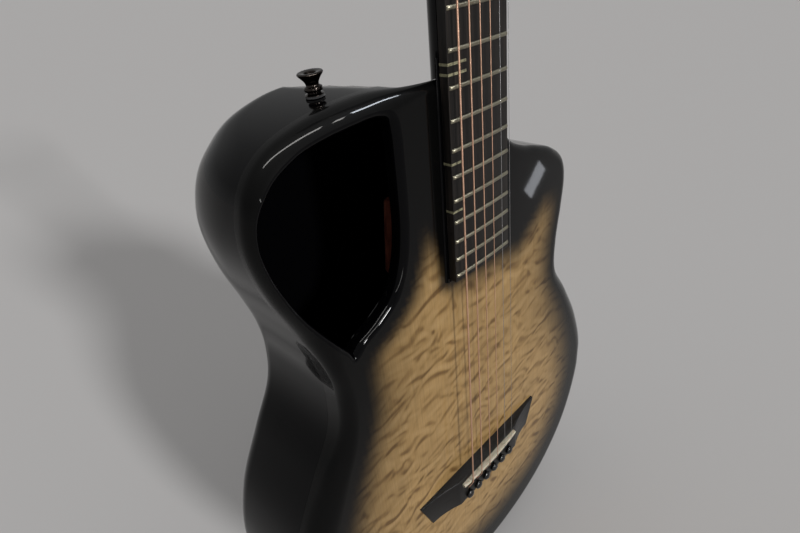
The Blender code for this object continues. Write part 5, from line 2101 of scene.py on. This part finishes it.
@dataclass
class StrapButtons:
    """The two strap buttons, each on a felt washer; their profiles are in millimetres."""

    shoulder_x: float = -84.5 * MM
    shoulder_y: float = -15 * MM
    tail_y: float = 4 * MM
    profile: tuple[Pair, ...] = (
        (0.0, 11.39), (2.2, 11.39), (2.9, 11.55), (3.3, 12.33), (4.6, 12.61), (5.9, 12.8), (6.6, 12.69),
        (7.0, 12.25), (6.95, 11.78), (6.5, 11.16), (5.6, 10.14), (4.7, 9.04), (4.0, 7.94), (3.6, 7.0),
        (3.5, 6.22), (3.8, 5.67), (4.5, 5.36), (4.85, 5.04), (4.95, 4.65), (4.95, 3.63), (4.75, 3.24),
        (4.2, 3.0), (3.7, 2.77), (3.7, 1.98), (4.4, 1.67), (5.2, 1.44), (5.3, 1.2), (0.0, 1.2),
    )  # fmt: skip
    felt: tuple[Pair, ...] = (
        (2.2, 1.15), (5.0, 1.15), (5.2, 0.9), (5.3, 0.5), (5.2, 0.05), (2.2, 0.05), (2.2, 1.15),
    )  # fmt: skip

    def build(self) -> None:
        """Builds and dresses both buttons and their washers."""
        seat_z, slope = self.shoulder_seat()
        shoulder = posed((self.shoulder_x, self.shoulder_y, seat_z + LAYOUT.seat_gap), -slope, "Y")
        tail = posed((0.0, self.tail_y, -LAYOUT.seat_gap), math.pi)
        for side, place in (("shoulder", shoulder), ("tail", tail)):
            stud, washer = bmesh.new(), bmesh.new()
            turned(stud, millimetres(*self.profile), place, 64)
            button = finished(stud, f"strap_stud_{side}", 40.0)
            make_piece(button, (DARK_CHROME,), f"strap_button_{side}")
            turned(washer, millimetres(*self.felt), place, 64)
            make_piece(finished(washer, f"strap_felt_{side}", 40.0), (FELT,))

    def shoulder_seat(self) -> Pair:
        """Where the button on the bass shoulder sits.

        Returns:
            The shoulder's height there and its slope, as an angle.
        """
        for start, end in zip(OUTLINE.loop, OUTLINE.loop[1:]):
            if start[1] > OUTLINE.rake_fade_z and end[0] <= self.shoulder_x < start[0]:
                slope = (start[1] - end[1]) / (start[0] - end[0])
                return end[1] + (self.shoulder_x - end[0]) * slope, math.atan(slope)
        raise ValueError("The strap button lies outside the shoulder")


# Studio


@dataclass(frozen=True)
class SoftBox:
    """A lamp that only gloss shows: the way to it from its target, its long axis, size and radiance."""

    name: str
    target: Place
    away: Place
    along: Place
    size: Pair
    radiance: float
    facing: Place | None = None
    colour: Place = (1.0, 0.98, 0.95)

    def hang(self) -> None:
        """Hangs the lamp facing its target, hidden from the camera and from matt surfaces."""
        data = bpy.data.lights.new(self.name, "AREA")
        data.shape, data.size, data.size_y = "RECTANGLE", *self.size
        data.energy, data.color = self.radiance * math.pi * self.size[0] * self.size[1], self.colour
        lamp = loose_object(self.name, data)
        back = Vector(self.facing or self.away).normalized()
        across = Vector(self.along)
        across = (across - back * across.dot(back)).normalized()
        turn = Matrix((across, back.cross(across), back)).transposed().to_4x4()
        lamp.matrix_world = Matrix.Translation(Vector(self.target) + Vector(self.away)) @ turn
        lamp.visible_camera = lamp.visible_diffuse = False


@dataclass
class Studio:
    """The floor, the light and the camera at the photograph's viewing angle."""

    floor_z: float = -17.5 * MM
    floor_size: float = 120.0
    camera_place: Place = (-0.2535, -0.2512, 0.5522)
    azimuth: float = math.radians(-42.26)
    elevation: float = math.radians(31.10)
    roll: float = math.radians(-6.72)
    lens: float = 24.0
    sensor: float = 36.0
    clip: Pair = (0.01, 200.0)
    key_from: Place = (-0.033, -0.933, 0.358)
    key_strength: float = 2.3
    key_softness: float = math.radians(8)
    sky: tuple[Pair, ...] = ((0.0, 0.36), (0.22, 0.26), (1.0, 0.43))
    boxes: tuple[SoftBox, ...] = (
        SoftBox("front_box", (-0.09, -0.05, 0.36), (-0.14, -1.19, 0.90), (1.0, 0.0, 0.0), (0.34, 0.10), 30.0),
        SoftBox(
            "left_strip", (-0.07, -0.05, 0.38), (-0.92, -1.17, 0.15), (-0.44, 0.40, 0.64), (1.1, 0.05), 16.0
        ),
        SoftBox(
            "high_strip", (-0.12, -0.045, 0.478), (-0.12, -0.33, 1.44), (1.0, -0.37, 0.0), (1.40, 0.10), 28.0
        ),
        SoftBox(
            "high_strip_end",
            (-0.12, -0.045, 0.478), (0.66, -0.60, 1.29), (1.0, -0.37, 0.0), (0.10, 0.10), 26.0,
        ),
        SoftBox(
            "high_window",
            (-0.075, -0.046, 0.484),
            (0.81, -0.43, 1.18),
            (0.064, -0.468, -0.231),
            (0.11, 0.24),
            60.0,
            colour=(0.86, 0.92, 1.0),
        ),
        SoftBox(
            "side_window",
            (0.0757, -0.05, 0.391),
            (0.7083, -0.433, -0.348),
            (0.735, 0.0, 0.68),
            (0.080, 0.044),
            5.6,
            facing=(0.0, -1.0, 0.0),
            colour=(0.90, 0.93, 1.0),
        ),
    )

    def build(self) -> None:
        """Sets up the floor, the light and the camera."""
        self.lay_floor()
        self.light()
        self.place_camera()
        bpy.context.scene.view_settings.view_transform = "Standard"

    def lay_floor(self) -> None:
        """Lays a wide, plain, pale floor."""
        bm = bmesh.new()
        bmesh.ops.create_grid(bm, x_segments=1, y_segments=1, size=self.floor_size / 2)
        bmesh.ops.translate(bm, vec=(0.0, 0.0, self.floor_z), verts=bm.verts[:])
        floor = finished(bm, "floor")
        floor.data.materials.append(FLOOR_PAINT.material())

    def light(self) -> None:
        """Sets up a soft key, the boxes that gloss shows, and a sky that is brighter overhead."""
        key = bpy.data.lights.new("key", "SUN")
        key.energy, key.angle = self.key_strength, self.key_softness
        loose_object("key", key).rotation_euler = Vector(self.key_from).to_track_quat("Z", "Y").to_euler()
        for box in self.boxes:
            box.hang()
        world = bpy.data.worlds.new("studio")
        bpy.context.scene.world = world
        world.use_nodes = True
        tree = world.node_tree
        way = add_node(tree, "ShaderNodeTexCoord").outputs["Generated"]
        height = add_node(tree, "ShaderNodeSeparateXYZ", {0: way}).outputs["Z"]
        stops = [(place, (value, value, value, 1.0)) for place, value in self.sky]
        level = add_node(tree, "ShaderNodeValToRGB", {"Fac": height}, stops)
        tree.links.new(level.outputs[0], tree.nodes["Background"].inputs["Color"])

    def place_camera(self) -> None:
        """Sets up the camera, turned as the photograph's was."""
        data = bpy.data.cameras.new("camera")
        data.lens, data.sensor_width, data.sensor_fit = self.lens, self.sensor, "HORIZONTAL"
        data.clip_start, data.clip_end = self.clip
        camera = loose_object("camera", data)
        level, rise = math.cos(self.elevation), math.sin(self.elevation)
        back = Vector((math.sin(self.azimuth) * level, -math.cos(self.azimuth) * level, rise))
        right = (-back).cross(Vector((0.0, 0.0, 1.0))).normalized()
        up = right.cross(-back)
        c, s = math.cos(self.roll), math.sin(self.roll)
        turn = Matrix((right * c + up * s, up * c - right * s, back)).transposed().to_4x4()
        camera.matrix_world = Matrix.Translation(self.camera_place) @ turn
        bpy.context.scene.camera = camera


def main() -> None:
    """Builds the studio and every sub-assembly, in order."""
    logging.basicConfig(level=logging.INFO, format="%(message)s")
    kinds = (Studio, SoundTop, BodyShell, Neck, Fingerboard, Bridge, Strings, Tuners, StrapButtons)
    for kind in kinds:
        kind().build()
        LOG.info("%s done", kind.__name__)


if __name__ == "__main__":
    main()
